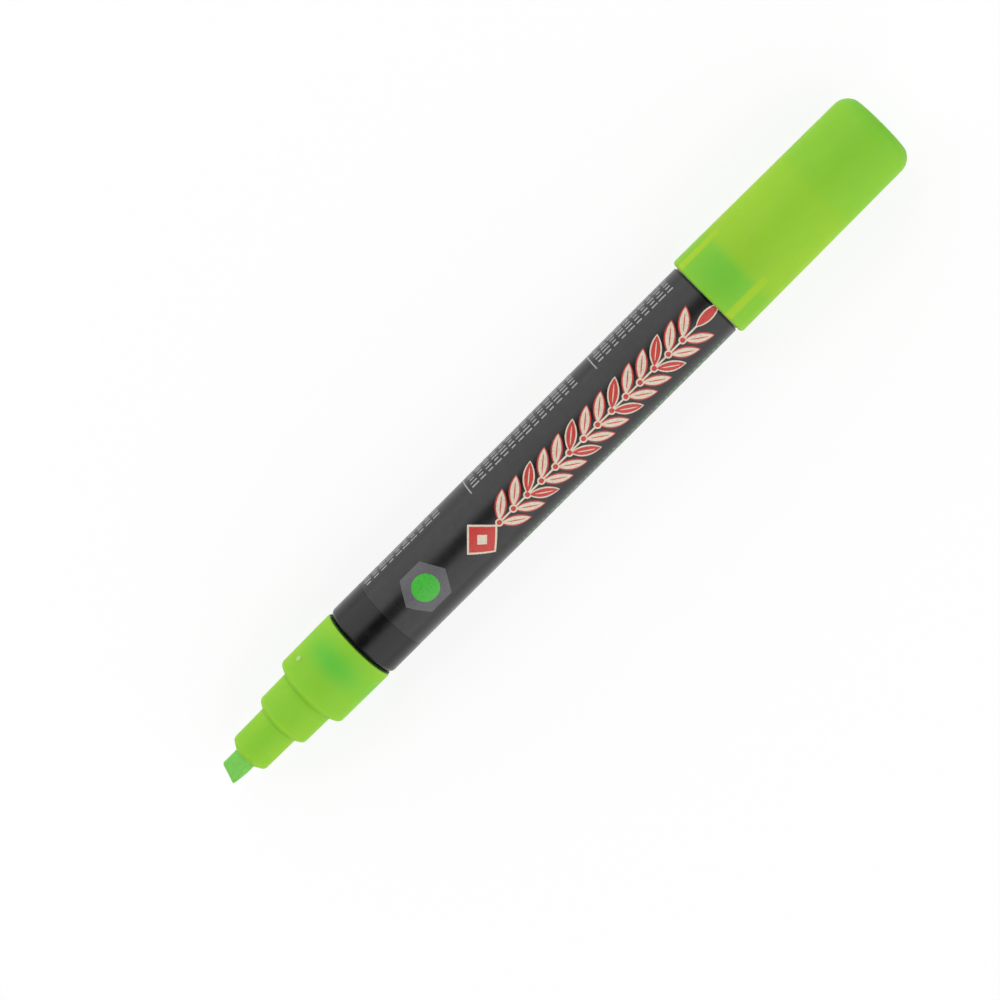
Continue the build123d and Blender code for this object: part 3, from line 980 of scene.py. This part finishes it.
stations = [label_low.x + film_length * step / FILM_STATIONS for step in range(FILM_STATIONS + 1)]
film_mesh = bpy.data.meshes.new("label_film_wrap")
film_mesh.from_pydata([point for x in stations for point in film_loop(x)], [], film_faces())
film = add_piece("label_film_wrap", film_mesh, material)
turn_outwards(film)
for polygon in film.data.polygons:
    polygon.use_smooth = True
film.data.set_sharp_from_angle(angle=SHARP_EDGE)
dress(film, "barrel", "label_film", "label_sleeve")

# %% [markdown]
# ## Print
# The label's print is plain ornament: a laurel garland with a lozenge at its head, fine dashed lines in
# columns and a colour swatch. Each row repeats one flat motif along the film, so a Geometry Nodes tree can
# draw them all. A motif is a thin box, cut into cells that let it bend with the film. Its width follows one
# rule from end to end, so the same tree draws leaves, discs, lozenges, hexagons and bars.

# %% A tree for rows of print: the motif
row_tree, row_sizes = start_tree("wrapped_row", {
    "Start": "Vector", "Pitch": "Vector", "Columns": "Int", "Rows": "Int", "Cells Along": "Int",
    "Cells Across": "Int", "Swell": "Float", "Point": "Float", "Blunt": "Float", "Lean": "Float",
    "Motif": "Vector", "Shortest": "Float", "Seed": "Int", "Radius": "Float", "Axis Height": "Float",
    "Material": "Material"})
corners_along = count_with(row_tree, "ADD", row_sizes["Cells Along"], 1)
corners_across = count_with(row_tree, "ADD", row_sizes["Cells Across"], 1)
cell_counts = {"Vertices X": corners_along, "Vertices Y": corners_across}
cells = add_node(row_tree, "GeometryNodeMeshCube", cell_counts)
position = add_node(row_tree, "GeometryNodeInputPosition").outputs[0]
spot = split_xyz(row_tree, position)
end_to_end = calculate(row_tree, "SINE", calculate(row_tree, "MULTIPLY", spot["X"], math.pi))
fullness = calculate(row_tree, "POWER", calculate(row_tree, "ABSOLUTE", end_to_end), row_sizes["Swell"])
width = calculate(row_tree, "POWER", calculate(row_tree, "SUBTRACT", 1.0, fullness), row_sizes["Point"])
width = calculate(row_tree, "MULTIPLY", width, row_sizes["Blunt"])
width = calculate(row_tree, "MINIMUM", width, 1.0)
motif_x = calculate(row_tree, "MULTIPLY", end_to_end, 0.5)
motif_y = calculate(row_tree, "MULTIPLY", spot["Y"], width)
motif_spot = join_xyz(row_tree, motif_x, motif_y, spot["Z"])
motif = add_node(row_tree, "GeometryNodeSetPosition", {0: cells.outputs["Mesh"], "Position": motif_spot})
print("motif:", len(row_tree.nodes), "nodes so far")

# %% [markdown]
# The motifs stand on a grid of points, laid out flat: X runs along the barrel and Y is the way round it,
# measured on the film. The label carries the same print on its far side, so the grid is made twice, the
# second half a turn further round.

# %% A tree for rows of print: where the motifs stand
index = add_node(row_tree, "GeometryNodeInputIndex").outputs[0]
per_side = count_with(row_tree, "MULTIPLY", row_sizes["Columns"], row_sizes["Rows"])
on_side = count_with(row_tree, "MODULO", index, per_side)
side = count_with(row_tree, "DIVIDE_FLOOR", index, per_side)
column = count_with(row_tree, "DIVIDE_FLOOR", on_side, row_sizes["Rows"])
row = count_with(row_tree, "MODULO", on_side, row_sizes["Rows"])
start = split_xyz(row_tree, row_sizes["Start"])
pitch = split_xyz(row_tree, row_sizes["Pitch"])
x = calculate(row_tree, "MULTIPLY_ADD", column, pitch["X"], start["X"])
arc = calculate(row_tree, "MULTIPLY_ADD", row, pitch["Y"], start["Y"])
half_way = calculate(row_tree, "MULTIPLY", row_sizes["Radius"], math.pi)
arc = calculate(row_tree, "MULTIPLY_ADD", side, half_way, arc)
both_sides = count_with(row_tree, "MULTIPLY", per_side, 2)
flat_place = join_xyz(row_tree, x, arc, 0)
dots = add_node(row_tree, "GeometryNodePoints", {"Count": both_sides, "Position": flat_place}).outputs[0]
print("places:", len(row_tree.nodes), "nodes so far")

# %% [markdown]
# Each motif is scaled to its size, with a random length where the row asks for one, and leans one way in
# even rows and the other way in odd ones, as leaves do on both sides of a stem. The flat row is then wrapped
# round the barrel: the way round becomes an angle, and the height over the film adds to the radius.

# %% A tree for rows of print: set and wrap
lengths = {2: row_sizes["Shortest"], 3: 1.0, "Seed": row_sizes["Seed"]}
length = add_node(row_tree, "FunctionNodeRandomValue", lengths, data_type="FLOAT").outputs[1]
stretch = join_xyz(row_tree, length, 1, 1)
scale = add_node(row_tree, "ShaderNodeVectorMath", {0: row_sizes["Motif"], 1: stretch}, operation="MULTIPLY")
odd_row = count_with(row_tree, "MODULO", row, 2)
down_or_up = calculate(row_tree, "MULTIPLY_ADD", odd_row, 2.0, -1.0)
lean = calculate(row_tree, "MULTIPLY", down_or_up, row_sizes["Lean"])
spin = add_node(row_tree, "FunctionNodeEulerToRotation", {0: join_xyz(row_tree, 0, 0, lean)}).outputs[0]
placed = add_node(row_tree, "GeometryNodeInstanceOnPoints",
                  {"Points": dots, "Instance": motif.outputs[0], "Rotation": spin, "Scale": scale.outputs[0]})
flat = add_node(row_tree, "GeometryNodeRealizeInstances", {0: placed.outputs[0]}).outputs[0]
turn = calculate(row_tree, "DIVIDE", spot["Y"], row_sizes["Radius"])
reach = calculate(row_tree, "ADD", spot["Z"], row_sizes["Radius"])
y = calculate(row_tree, "MULTIPLY", reach, calculate(row_tree, "SINE", turn))
z = calculate(row_tree, "MULTIPLY_ADD", reach, calculate(row_tree, "COSINE", turn), row_sizes["Axis Height"])
round_place = join_xyz(row_tree, spot["X"], y, z)
wrapped = add_node(row_tree, "GeometryNodeSetPosition", {0: flat, "Position": round_place}).outputs[0]
closed = add_node(row_tree, "GeometryNodeMergeByDistance", {0: wrapped, "Distance": SAME_PLACE}).outputs[0]
finish_tree(row_tree, closed, row_sizes["Material"])

# %% [markdown]
# Screen ink on film is a thin, nearly matte coat. The film's own material could carry the print, but real
# shapes, a few hundredths of a millimetre thick, keep crisp edges at any size, so each ink is a material of
# its own. It is a little uneven, as if the screen had not quite closed.

# %% Inks
INK_DEPTH = 0.004 * MM


def ink(name, full, thin):
    """Screen ink, thinner in small patches."""
    material, tree, shader, place = new_finish(name, {"IOR": 1.45})
    cover = noise(tree, place, scale=2600, detail=3)
    paint(tree, shader, blend_colours(tree, ease(tree, cover, low=0.4, high=0.75), full, thin))
    link_roughness(tree, shader, noise(tree, place, scale=900), low=0.38, high=0.5)
    bump(tree, shader, cover, INK_DEPTH)
    return material


inks = {
    "cream": ink("ink_cream", full=(0.80, 0.70, 0.56, 1), thin=(0.66, 0.55, 0.42, 1)),
    "red": ink("ink_red", full=(0.63, 0.055, 0.045, 1), thin=(0.50, 0.045, 0.04, 1)),
    "grey": ink("ink_grey", full=(0.42, 0.42, 0.43, 1), thin=(0.28, 0.28, 0.295, 1)),
    "slate": ink("ink_slate", full=(0.13, 0.13, 0.14, 1), thin=(0.105, 0.105, 0.115, 1)),
    "green": ink("ink_green", full=(0.065, 0.52, 0.045, 1), thin=(0.05, 0.42, 0.04, 1)),
}
print("inks:", ", ".join(inks))

# %% [markdown]
# A motif with an edge of another colour is two layers: the edge is a larger motif that stands a little
# lower, and the face lies on it. A third layer can lie on the face. Swell says how steeply a motif's sides
# leave its middle, Point how sharp its ends are, and Blunt how far it is cut off at its widest.

# %% Motifs and rows
LOW_INK = 0.028 * MM
HIGH_INK = 0.044 * MM
TOP_INK = 0.058 * MM
MOTIFS = {
    "leaf": {"Cells Along": 12, "Cells Across": 4, "Swell": 2.0, "Point": 0.9, "Blunt": 1.0},
    "vein": {"Cells Along": 12, "Cells Across": 2, "Swell": 2.0, "Point": 0.5, "Blunt": 1.0},
    "disc": {"Cells Along": 24, "Cells Across": 12, "Swell": 2.0, "Point": 0.5, "Blunt": 1.0},
    "lozenge": {"Cells Along": 36, "Cells Across": 12, "Swell": 1.0, "Point": 1.0, "Blunt": 1.0},
    "hexagon": {"Cells Along": 48, "Cells Across": 16, "Swell": 1.0, "Point": 1.0, "Blunt": 2.0},
    "bar": {"Cells Along": 1, "Cells Across": 1, "Swell": 2.0, "Point": 0.0, "Blunt": 1.0},
    "upright": {"Cells Along": 1, "Cells Across": 12, "Swell": 2.0, "Point": 0.0, "Blunt": 1.0},
}

row_parts = {colour: [] for colour in inks}


def print_row(colour, motif, start, size, rise=LOW_INK, columns=1, pitch=0.0, rows=1, row_pitch=0.0,
              lean=0.0, shortest_share=1.0, seed=0):
    """One row of a motif in one ink; start, size and pitches are millimetres along and round the barrel."""
    values = {"Start": (start[0] * MM, start[1] * MM, 0), "Pitch": (pitch * MM, row_pitch * MM, 0),
              "Columns": columns, "Rows": rows, "Lean": lean, "Motif": (size[0] * MM, size[1] * MM, rise),
              "Shortest": shortest_share, "Seed": seed, "Radius": film_radius, "Axis Height": axis_height,
              "Material": inks[colour], **MOTIFS[motif]}
    row_parts[colour].append(run_tree("row", bpy.data.meshes.new("row"), row_tree, values))


def edged_row(face, edge, motif, start, size, border, **repeat):
    """A row of a motif in one ink, edged in another."""
    wide = (size[0] + 2 * border, size[1] + 2 * border)
    print_row(edge, motif, start, wide, **repeat)
    print_row(face, motif, start, size, HIGH_INK, **repeat)


def rows_so_far():
    """How many rows each ink has."""
    return {colour: len(rows) for colour, rows in row_parts.items()}


print("motifs:", ", ".join(MOTIFS))

# %% [markdown]
# The garland runs along the middle of the label. A cream stem carries pairs of leaves that lean to both
# sides, every third pair red with a cream edge and the others the other way round, each leaf with a vein in
# the colour of its edge. All its sizes are in millimetres.

# %% Garland: stem and leaves
STEM_ARC = -2.2
STEM_WIDTH = 0.34
GARLAND_START = -13.6
PAIRS = 14
PAIR_PITCH = 3.4
LEAF_SIZE = (5.2, 1.55)
LEAF_LEAN = math.radians(40)
LEAF_GAP = 0.3
LEAF_EDGE = 0.28
LEAF_COLOURS = (("cream", "red"), ("cream", "red"), ("red", "cream"))
VEIN_SIZE = (3.3, 0.2)

garland_end = GARLAND_START + PAIRS * PAIR_PITCH
stem_middle = ((GARLAND_START + garland_end) / 2, STEM_ARC)
print_row("cream", "bar", stem_middle, (garland_end - GARLAND_START, STEM_WIDTH))

leaf_x = LEAF_SIZE[0] / 2 * math.cos(LEAF_LEAN) + LEAF_GAP
leaf_y = LEAF_SIZE[0] / 2 * math.sin(LEAF_LEAN) + LEAF_GAP
every = len(LEAF_COLOURS)
for offset, (face, edge) in enumerate(LEAF_COLOURS):
    repeat = {"columns": (PAIRS - offset + every - 1) // every, "pitch": every * PAIR_PITCH, "rows": 2,
              "row_pitch": 2 * leaf_y, "lean": LEAF_LEAN}
    middle = (GARLAND_START + offset * PAIR_PITCH + leaf_x, STEM_ARC - leaf_y)
    edged_row(face, edge, "leaf", middle, LEAF_SIZE, LEAF_EDGE, **repeat)
    print_row(edge, "vein", middle, VEIN_SIZE, TOP_INK, **repeat)
print("rows after the leaves:", rows_so_far())

# %% [markdown]
# One more leaf points on from the end of the stem, a berry sits at the foot of each pair, and a lozenge with
# a cream heart closes the garland at its start.

# %% Garland: tip, berries and lozenge
BERRY_SIZE = (0.9, 0.9)
LOZENGE_BEFORE = 4.2
LOZENGE_SIZE = (6.4, 6.4)
LOZENGE_EDGE = 0.5
LOZENGE_HEART = (2.4, 2.4)

tip_middle = (garland_end + LEAF_SIZE[0] / 2, STEM_ARC)
edged_row("red", "cream", "leaf", tip_middle, LEAF_SIZE, LEAF_EDGE)
first_berry = (GARLAND_START, STEM_ARC)
edged_row("red", "cream", "disc", first_berry, BERRY_SIZE, LEAF_EDGE, columns=PAIRS, pitch=PAIR_PITCH)
lozenge_middle = (GARLAND_START - LOZENGE_BEFORE, STEM_ARC)
edged_row("red", "cream", "lozenge", lozenge_middle, LOZENGE_SIZE, LOZENGE_EDGE)
print_row("cream", "lozenge", lozenge_middle, LOZENGE_HEART, TOP_INK)
print("rows after the garland:", rows_so_far())

# %% [markdown]
# Beside the garland stand three blocks of fine grey lines, each line a run of dashes of uneven length. The
# two later blocks stand beside an upright bar.

# %% Blocks of fine lines
DASH_SIZE = (1.75, 0.34)
DASH_PITCH = 1.85
DASH_LINE_PITCH = 0.95
DASH_SHORTEST_SHARE = 0.5
DASH_BLOCKS = (
    {"start": (-37.5, 7.6), "rows": 5, "columns": 10},
    {"start": (-12.0, 6.0), "rows": 7, "columns": 14},
    {"start": (18.4, 6.0), "rows": 7, "columns": 10},
)
UPRIGHT_SIZE = (0.24, 5.0)
UPRIGHT_MIDDLES = ((-13.6, 7.6), (16.8, 7.6))

for block in DASH_BLOCKS:
    print_row("grey", "bar", size=DASH_SIZE, pitch=DASH_PITCH, row_pitch=DASH_LINE_PITCH,
              shortest_share=DASH_SHORTEST_SHARE, seed=block["columns"] + block["rows"], **block)
for middle in UPRIGHT_MIDDLES:
    print_row("grey", "upright", middle, UPRIGHT_SIZE)
print("rows after the fine lines:", rows_so_far())

# %% [markdown]
# Near the front a green disc on a slate hexagon shows the ink's colour, and one fine dashed line in the same
# green runs along the garland's other side.

# %% Swatch and green line
SWATCH = (-30.6, -1.2)
HEXAGON_SIZE = (9.6, 8.2)
DISC_SIZE = (5.0, 5.0)
GREEN_LINE = (-14.0, -9.3)
GREEN_DASH = (0.9, 0.32)
GREEN_DASHES = 44
GREEN_DASH_PITCH = 1.15
GREEN_SHORTEST_SHARE = 0.35
GREEN_SEED = 4

print_row("slate", "hexagon", SWATCH, HEXAGON_SIZE)
print_row("green", "disc", SWATCH, DISC_SIZE, HIGH_INK)
print_row("green", "bar", GREEN_LINE, GREEN_DASH, columns=GREEN_DASHES, pitch=GREEN_DASH_PITCH,
          shortest_share=GREEN_SHORTEST_SHARE, seed=GREEN_SEED)
print("rows in all:", rows_so_far())

# %% [markdown]
# The rows of one ink were pulled through one screen, so they belong together. They are joined into one plain
# mesh for each ink, which rides on the barrel like the film below it.

# %% One piece for each ink
def join_rows(name, rows, material):
    """One piece from several rows of the same ink."""
    shape = bmesh.new()
    for row in rows:
        shape.from_mesh(row.data)
        bpy.data.objects.remove(row)
    mesh = bpy.data.meshes.new(name)
    shape.to_mesh(mesh)
    shape.free()
    return add_piece(name, mesh, material)


for colour, rows in row_parts.items():
    printed = join_rows("print_" + colour, rows, inks[colour])
    dress(printed, "barrel", "label_film")
    print(printed.name, "faces", len(printed.data.polygons))

# %% [markdown]
# ## Cap
# The cap is posted on the tail. Inside its mouth four low ribs grip the barrel, and over them the plastic is
# painted paler in strips, as painted light. The ribs repeat round the axis, so they are a ring of bars from a
# Geometry Nodes tree, joined to the turned shell by a Mesh Boolean.

# %% A tree that joins a ring of bars to a turned shell
ring_tree, ring_sizes = start_tree("ring_of_bars", {
    "Bars": "Int", "First Turn": "Float", "Bar Size": "Vector", "Bar Middle": "Vector",
    "Axis Height": "Float", "Material": "Material"})
bar = add_node(ring_tree, "GeometryNodeMeshCube", {"Size": ring_sizes["Bar Size"]}).outputs["Mesh"]
moved = {"Geometry": bar, "Translation": ring_sizes["Bar Middle"]}
bar = add_node(ring_tree, "GeometryNodeTransform", moved).outputs[0]
index = add_node(ring_tree, "GeometryNodeInputIndex").outputs[0]
turn_share = calculate(ring_tree, "DIVIDE", index, ring_sizes["Bars"])
turn = calculate(ring_tree, "MULTIPLY", turn_share, math.tau)
turn = calculate(ring_tree, "ADD", turn, ring_sizes["First Turn"])
spin = add_node(ring_tree, "FunctionNodeEulerToRotation", {0: join_xyz(ring_tree, turn, 0, 0)}).outputs[0]
on_axis = join_xyz(ring_tree, 0, 0, ring_sizes["Axis Height"])
bar_places = {"Count": ring_sizes["Bars"], "Position": on_axis}
dots = add_node(ring_tree, "GeometryNodePoints", bar_places).outputs[0]
turned_bars = {"Points": dots, "Instance": bar, "Rotation": spin}
bars = add_node(ring_tree, "GeometryNodeInstanceOnPoints", turned_bars)
ring = add_node(ring_tree, "GeometryNodeRealizeInstances", {0: bars.outputs[0]}).outputs[0]
union = add_node(ring_tree, "GeometryNodeMeshBoolean", operation="UNION", solver="EXACT")
for part in (ring_sizes["Geometry"], ring):
    ring_tree.links.new(part, union.inputs[1])
finish_tree(ring_tree, union.outputs[0], ring_sizes["Material"])

# %% [markdown]
# The cap's wall isn't one even green. It is painted yellower over the ribs, as painted light for light
# entering the thicker plastic, and a little yellower along its empty middle, as painted light through the
# empty cap. Both are masks by place: the ribs by the angle round the axis and their length, the middle by its
# two ends.

# %% Tints of the cap: ribs and middle
RIB_COUNT = 4
RIB_FIRST = math.radians(35)
RIB_LENGTH = 9.6 * MM
RIB_TINT_INNER = math.radians(3.5)
RIB_TINT_OUTER = math.radians(8)
RIB_END_FADE = 0.5 * MM
GRIP_DEPTH = 7.6 * MM
CLOSED_END = 16 * MM
MIDDLE_FADE = 2 * MM
MIDDLE_SHARE = 0.4

half_gap = math.pi / RIB_COUNT


def painted_rib_light(tree, place):
    """Painted light: 1 over the ribs, by the angle round the axis and the place along it."""
    from_first = calculate(tree, "SUBTRACT", round_axis(tree, place), RIB_FIRST)
    from_rib = calculate(tree, "WRAP", from_first, half_gap, -half_gap)
    aside = calculate(tree, "ABSOLUTE", from_rib)
    near = ease(tree, aside, RIB_TINT_INNER, RIB_TINT_OUTER, 1.0, 0.0)
    beside = along_x(tree, place, cap_low.x, cap_low.x + RIB_LENGTH, RIB_END_FADE)
    return calculate(tree, "MULTIPLY", near, beside)


def painted_light_over_ribs_and_middle(tree, place):
    """Painted light: yellower over the ribs, and less so between the gripping mouth and the closed end."""
    middle = along_x(tree, place, cap_low.x + GRIP_DEPTH, cap_high.x - CLOSED_END, MIDDLE_FADE)
    middle = calculate(tree, "MULTIPLY", middle, MIDDLE_SHARE)
    return calculate(tree, "MAXIMUM", painted_rib_light(tree, place), middle)


print(f"ribs: {RIB_COUNT}, {math.degrees(2 * half_gap):.0f} degrees apart")

# %% [markdown]
# The cap is painted deeper in colour where the barrel fills its mouth, between the ribs, as painted shade of
# the dark tail behind the wall, and a little deeper again towards its closed end and round the edge there, as
# painted shade where one looks through more plastic.

# %% Tints of the cap: mouth and closed end
GRIP_FADE_BEFORE = 1.2 * MM
GRIP_FADE_AFTER = 0.6 * MM
GRIP_COUNT = 2
GRIP_SHARE = 0.36
GRIP_LEAST_SHARE = 0.06
MOUTH_FADE = 4 * MM
MOUTH_SHARE = 0.6
CLOSED_END_SHARE = 0.1
END_ROUND = 4 * MM
END_ROUND_SHARE = 0.2


def painted_shade_in_cap(tree, place):
    """Painted shade: deeper between the ribs of the gripping mouth, and a little deeper again towards the
    closed end.
    """
    x = split_xyz(tree, place)["X"]
    grip_end = cap_low.x + GRIP_DEPTH
    grip = ease(tree, x, grip_end - GRIP_FADE_BEFORE, grip_end + GRIP_FADE_AFTER, 1.0, 0.0)
    from_mouth = ease(tree, x, cap_low.x, cap_low.x + MOUTH_FADE, MOUTH_SHARE, 1.0)
    grip = calculate(tree, "MULTIPLY", grip, from_mouth)
    between = swell(tree, place, GRIP_COUNT, RIB_FIRST - half_gap, GRIP_SHARE, GRIP_LEAST_SHARE)
    off_ribs = calculate(tree, "SUBTRACT", 1.0, painted_rib_light(tree, place))
    between_ribs = calculate(tree, "MULTIPLY", between, off_ribs)
    closed_end = ease(tree, x, cap_high.x - CLOSED_END, cap_high.x, 0.0, CLOSED_END_SHARE)
    end_round = ease(tree, x, cap_high.x - END_ROUND, cap_high.x, 0.0, END_ROUND_SHARE)
    end = calculate(tree, "ADD", closed_end, end_round)
    return calculate(tree, "MULTIPLY_ADD", grip, between_ribs, end)


# The cap's green carries painted light over its ribs and middle, and painted shade in its mouth and towards
# its closed end.
cap_green = green_plastic("green_plastic_cap", pale=painted_light_over_ribs_and_middle, deep=painted_shade_in_cap)

# %% [markdown]
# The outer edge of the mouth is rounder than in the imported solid, worn by many pushes on and off. So the few
# points of its small round are drawn away from their corner before the shell is turned. The ribs start a
# little way inside the mouth and reach into the wall, so the Mesh Boolean has something to join.

# %% Cap shell with its ribs
RIM_ROUND = 0.35 * MM
WORN_RIM_ROUND = 0.75 * MM
MOUTH_RADIUS = 7.5 * MM
RIB_WIDTH = 1.4 * MM
RIB_HEIGHT = 0.25 * MM
RIB_ROOT = 0.4 * MM

cap_radius = (cap_high.y - cap_low.y) / 2


def worn_rim(outline):
    """Draws the small round of the mouth's outer edge away from its corner, which makes it a larger one."""
    corner = Vector((cap_low.x, cap_radius, 0))
    wider = WORN_RIM_ROUND / RIM_ROUND
    return [corner + (spot - corner) * wider if (spot - corner).length < WORN_RIM_ROUND else spot
            for spot in outline]


cap_outline, cap_closed = read_outline("cap_shell")
shell = turned_piece("cap_shell", cap_green, outline=worn_rim(cap_outline), closed=cap_closed)
rib_size = (RIB_LENGTH - RIM_ROUND, RIB_WIDTH, RIB_HEIGHT + RIB_ROOT)
rib_middle = (cap_low.x + (RIB_LENGTH + RIM_ROUND) / 2, 0, MOUTH_RADIUS + (RIB_ROOT - RIB_HEIGHT) / 2)
cap = run_tree("cap_shell_ribbed", shell.data, ring_tree,
               {"Bars": RIB_COUNT, "First Turn": RIB_FIRST, "Bar Size": rib_size, "Bar Middle": rib_middle,
                "Axis Height": axis_height, "Material": cap_green})
turn_outwards(cap)
dress(cap, "cap", "green_plastic", "cap_shell")

# %% [markdown]
# ## Liner
# Deep in the cap a softer white liner closes on the neck, to keep the nib from drying. It is natural
# polyethylene, waxy and slightly translucent, so it scatters a little light. It is turned like the rest,
# with fewer steps, because it is small and shows only from the open end.

# %% Cap liner
LINER_SURFACE = {"IOR": 1.51, "Subsurface Weight": 0.6, "Subsurface Radius": (1, 1, 0.9),
                 "Subsurface Scale": 1.0 * MM}
LINER_SHADE = (0.74, 0.76, 0.68, 1)
LINER_WHITE = (0.82, 0.83, 0.78, 1)
LINER_GRAIN_DEPTH = 0.006 * MM
LINER_STEPS = 128

liner_natural = clouded_finish("liner_natural", LINER_SURFACE, (LINER_SHADE, LINER_WHITE), scale=420,
                               detail=2, gloss=(0.42, 0.55), grain=(2200, LINER_GRAIN_DEPTH))
liner = turned_piece("cap_liner", liner_natural, steps=LINER_STEPS)
dress(liner, "cap", "liner_plastic", "cap_liner")

# %% [markdown]
# ## Valve and ball
# Behind the nib a sprung stem closes the ink chamber. Its spring is a helix. A Screw modifier could wind it,
# but a tree keeps the turns, the radius and the length as named inputs: it sweeps a round section along a
# Spiral with Curve to Mesh.

# %% A tree that winds a spring
STEPS_A_TURN = 28
WIRE_SIDES = 10

spring_tree, spring_sizes = start_tree("wound_spring", {
    "Turns": "Float", "Coil Radius": "Float", "Wire Radius": "Float", "Length": "Float", "Front": "Vector",
    "Material": "Material"})
winding = {"Resolution": STEPS_A_TURN, "Rotations": spring_sizes["Turns"],
           "Start Radius": spring_sizes["Coil Radius"], "End Radius": spring_sizes["Coil Radius"],
           "Height": spring_sizes["Length"]}
helix = add_node(spring_tree, "GeometryNodeCurveSpiral", winding).outputs[0]
laid_down = {"Geometry": helix, "Rotation": (0, math.pi / 2, 0), "Translation": spring_sizes["Front"]}
helix = add_node(spring_tree, "GeometryNodeTransform", laid_down).outputs[0]
section = {0: WIRE_SIDES, 4: spring_sizes["Wire Radius"]}
wire = add_node(spring_tree, "GeometryNodeCurvePrimitiveCircle", section).outputs[0]
sweep = {"Curve": helix, "Profile Curve": wire, "Fill Caps": True}
coil = add_node(spring_tree, "GeometryNodeCurveToMesh", sweep).outputs[0]
finish_tree(spring_tree, coil, spring_sizes["Material"])

# %% [markdown]
# The wire is bright steel. Pressing the nib shortens the spring towards the end that rests in the cage, and
# here the piece gets a mesh of its own.

# %% Valve spring
STEEL_SHADE = (0.50, 0.50, 0.51, 1)
STEEL_BRIGHT = (0.60, 0.60, 0.61, 1)
SPRING_WIRE = 0.2 * MM
SPRING_TURNS = 6

steel = clouded_finish("bright_steel", {"Metallic": 1.0}, (STEEL_SHADE, STEEL_BRIGHT), scale=2000, detail=3,
                       gloss=(0.18, 0.32))
spring_low, spring_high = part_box("valve_spring")
spring_length = spring_high.x - spring_low.x
coil_radius = (spring_high.y - spring_low.y) / 2 - SPRING_WIRE
spring = run_tree("valve_spring_wire", bpy.data.meshes.new("spring"), spring_tree,
                  {"Turns": SPRING_TURNS, "Coil Radius": coil_radius, "Wire Radius": SPRING_WIRE,
                   "Length": spring_length - 2 * SPRING_WIRE,
                   "Front": (spring_low.x + SPRING_WIRE, 0, axis_height), "Material": steel})
turn_outwards(spring)
dress(spring, "barrel", "steel", "valve_spring")
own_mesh(spring)

# %% [markdown]
# A loose steel ball stirs the ink when the marker is shaken. A UV Sphere would do as well. Turned from half a
# circle, it uses the same tree as the other pieces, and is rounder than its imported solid.

# %% Mixing ball
BALL_STEPS = 32
BALL_STEPS_AROUND = 64

ball_low, ball_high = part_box("mixing_ball")
ball_radius = (ball_high.x - ball_low.x) / 2
half_turn = [math.pi * step / BALL_STEPS for step in range(BALL_STEPS + 1)]
ball_outline = [Vector((ball_low.x + ball_radius * (1 - math.cos(turn)), ball_radius * math.sin(turn), 0))
                for turn in half_turn]
ball = turned_piece("mixing_ball", steel, steps=BALL_STEPS_AROUND, outline=ball_outline)
dress(ball, "ball", "steel", "mixing_ball")

# %% [markdown]
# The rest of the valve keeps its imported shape, which is already right, and only gets its finishes: natural
# white mouldings and a black rubber seal.

# %% Finishes of the valve's pieces
VALVE_SHADE = (0.68, 0.68, 0.64, 1)
VALVE_WHITE = (0.78, 0.78, 0.75, 1)
RUBBER_BLACK = (0.03, 0.03, 0.03, 1)
RUBBER_GREY = (0.05, 0.05, 0.05, 1)

natural = clouded_finish("valve_natural", {"IOR": 1.5}, (VALVE_SHADE, VALVE_WHITE), scale=600, detail=2,
                         gloss=(0.4, 0.5))
rubber = clouded_finish("seal_black", {"IOR": 1.52}, (RUBBER_BLACK, RUBBER_GREY), scale=900, detail=2,
                        gloss=(0.6, 0.75))
valve_finishes = {"valve_seat": natural, "valve_stem": natural, "valve_cage": natural, "valve_seal": rubber}
for name, finish in valve_finishes.items():
    for slot in nodes[name].material_slots:
        slot.material = finish
    print(name, "keeps its packed shape, with", finish.name)
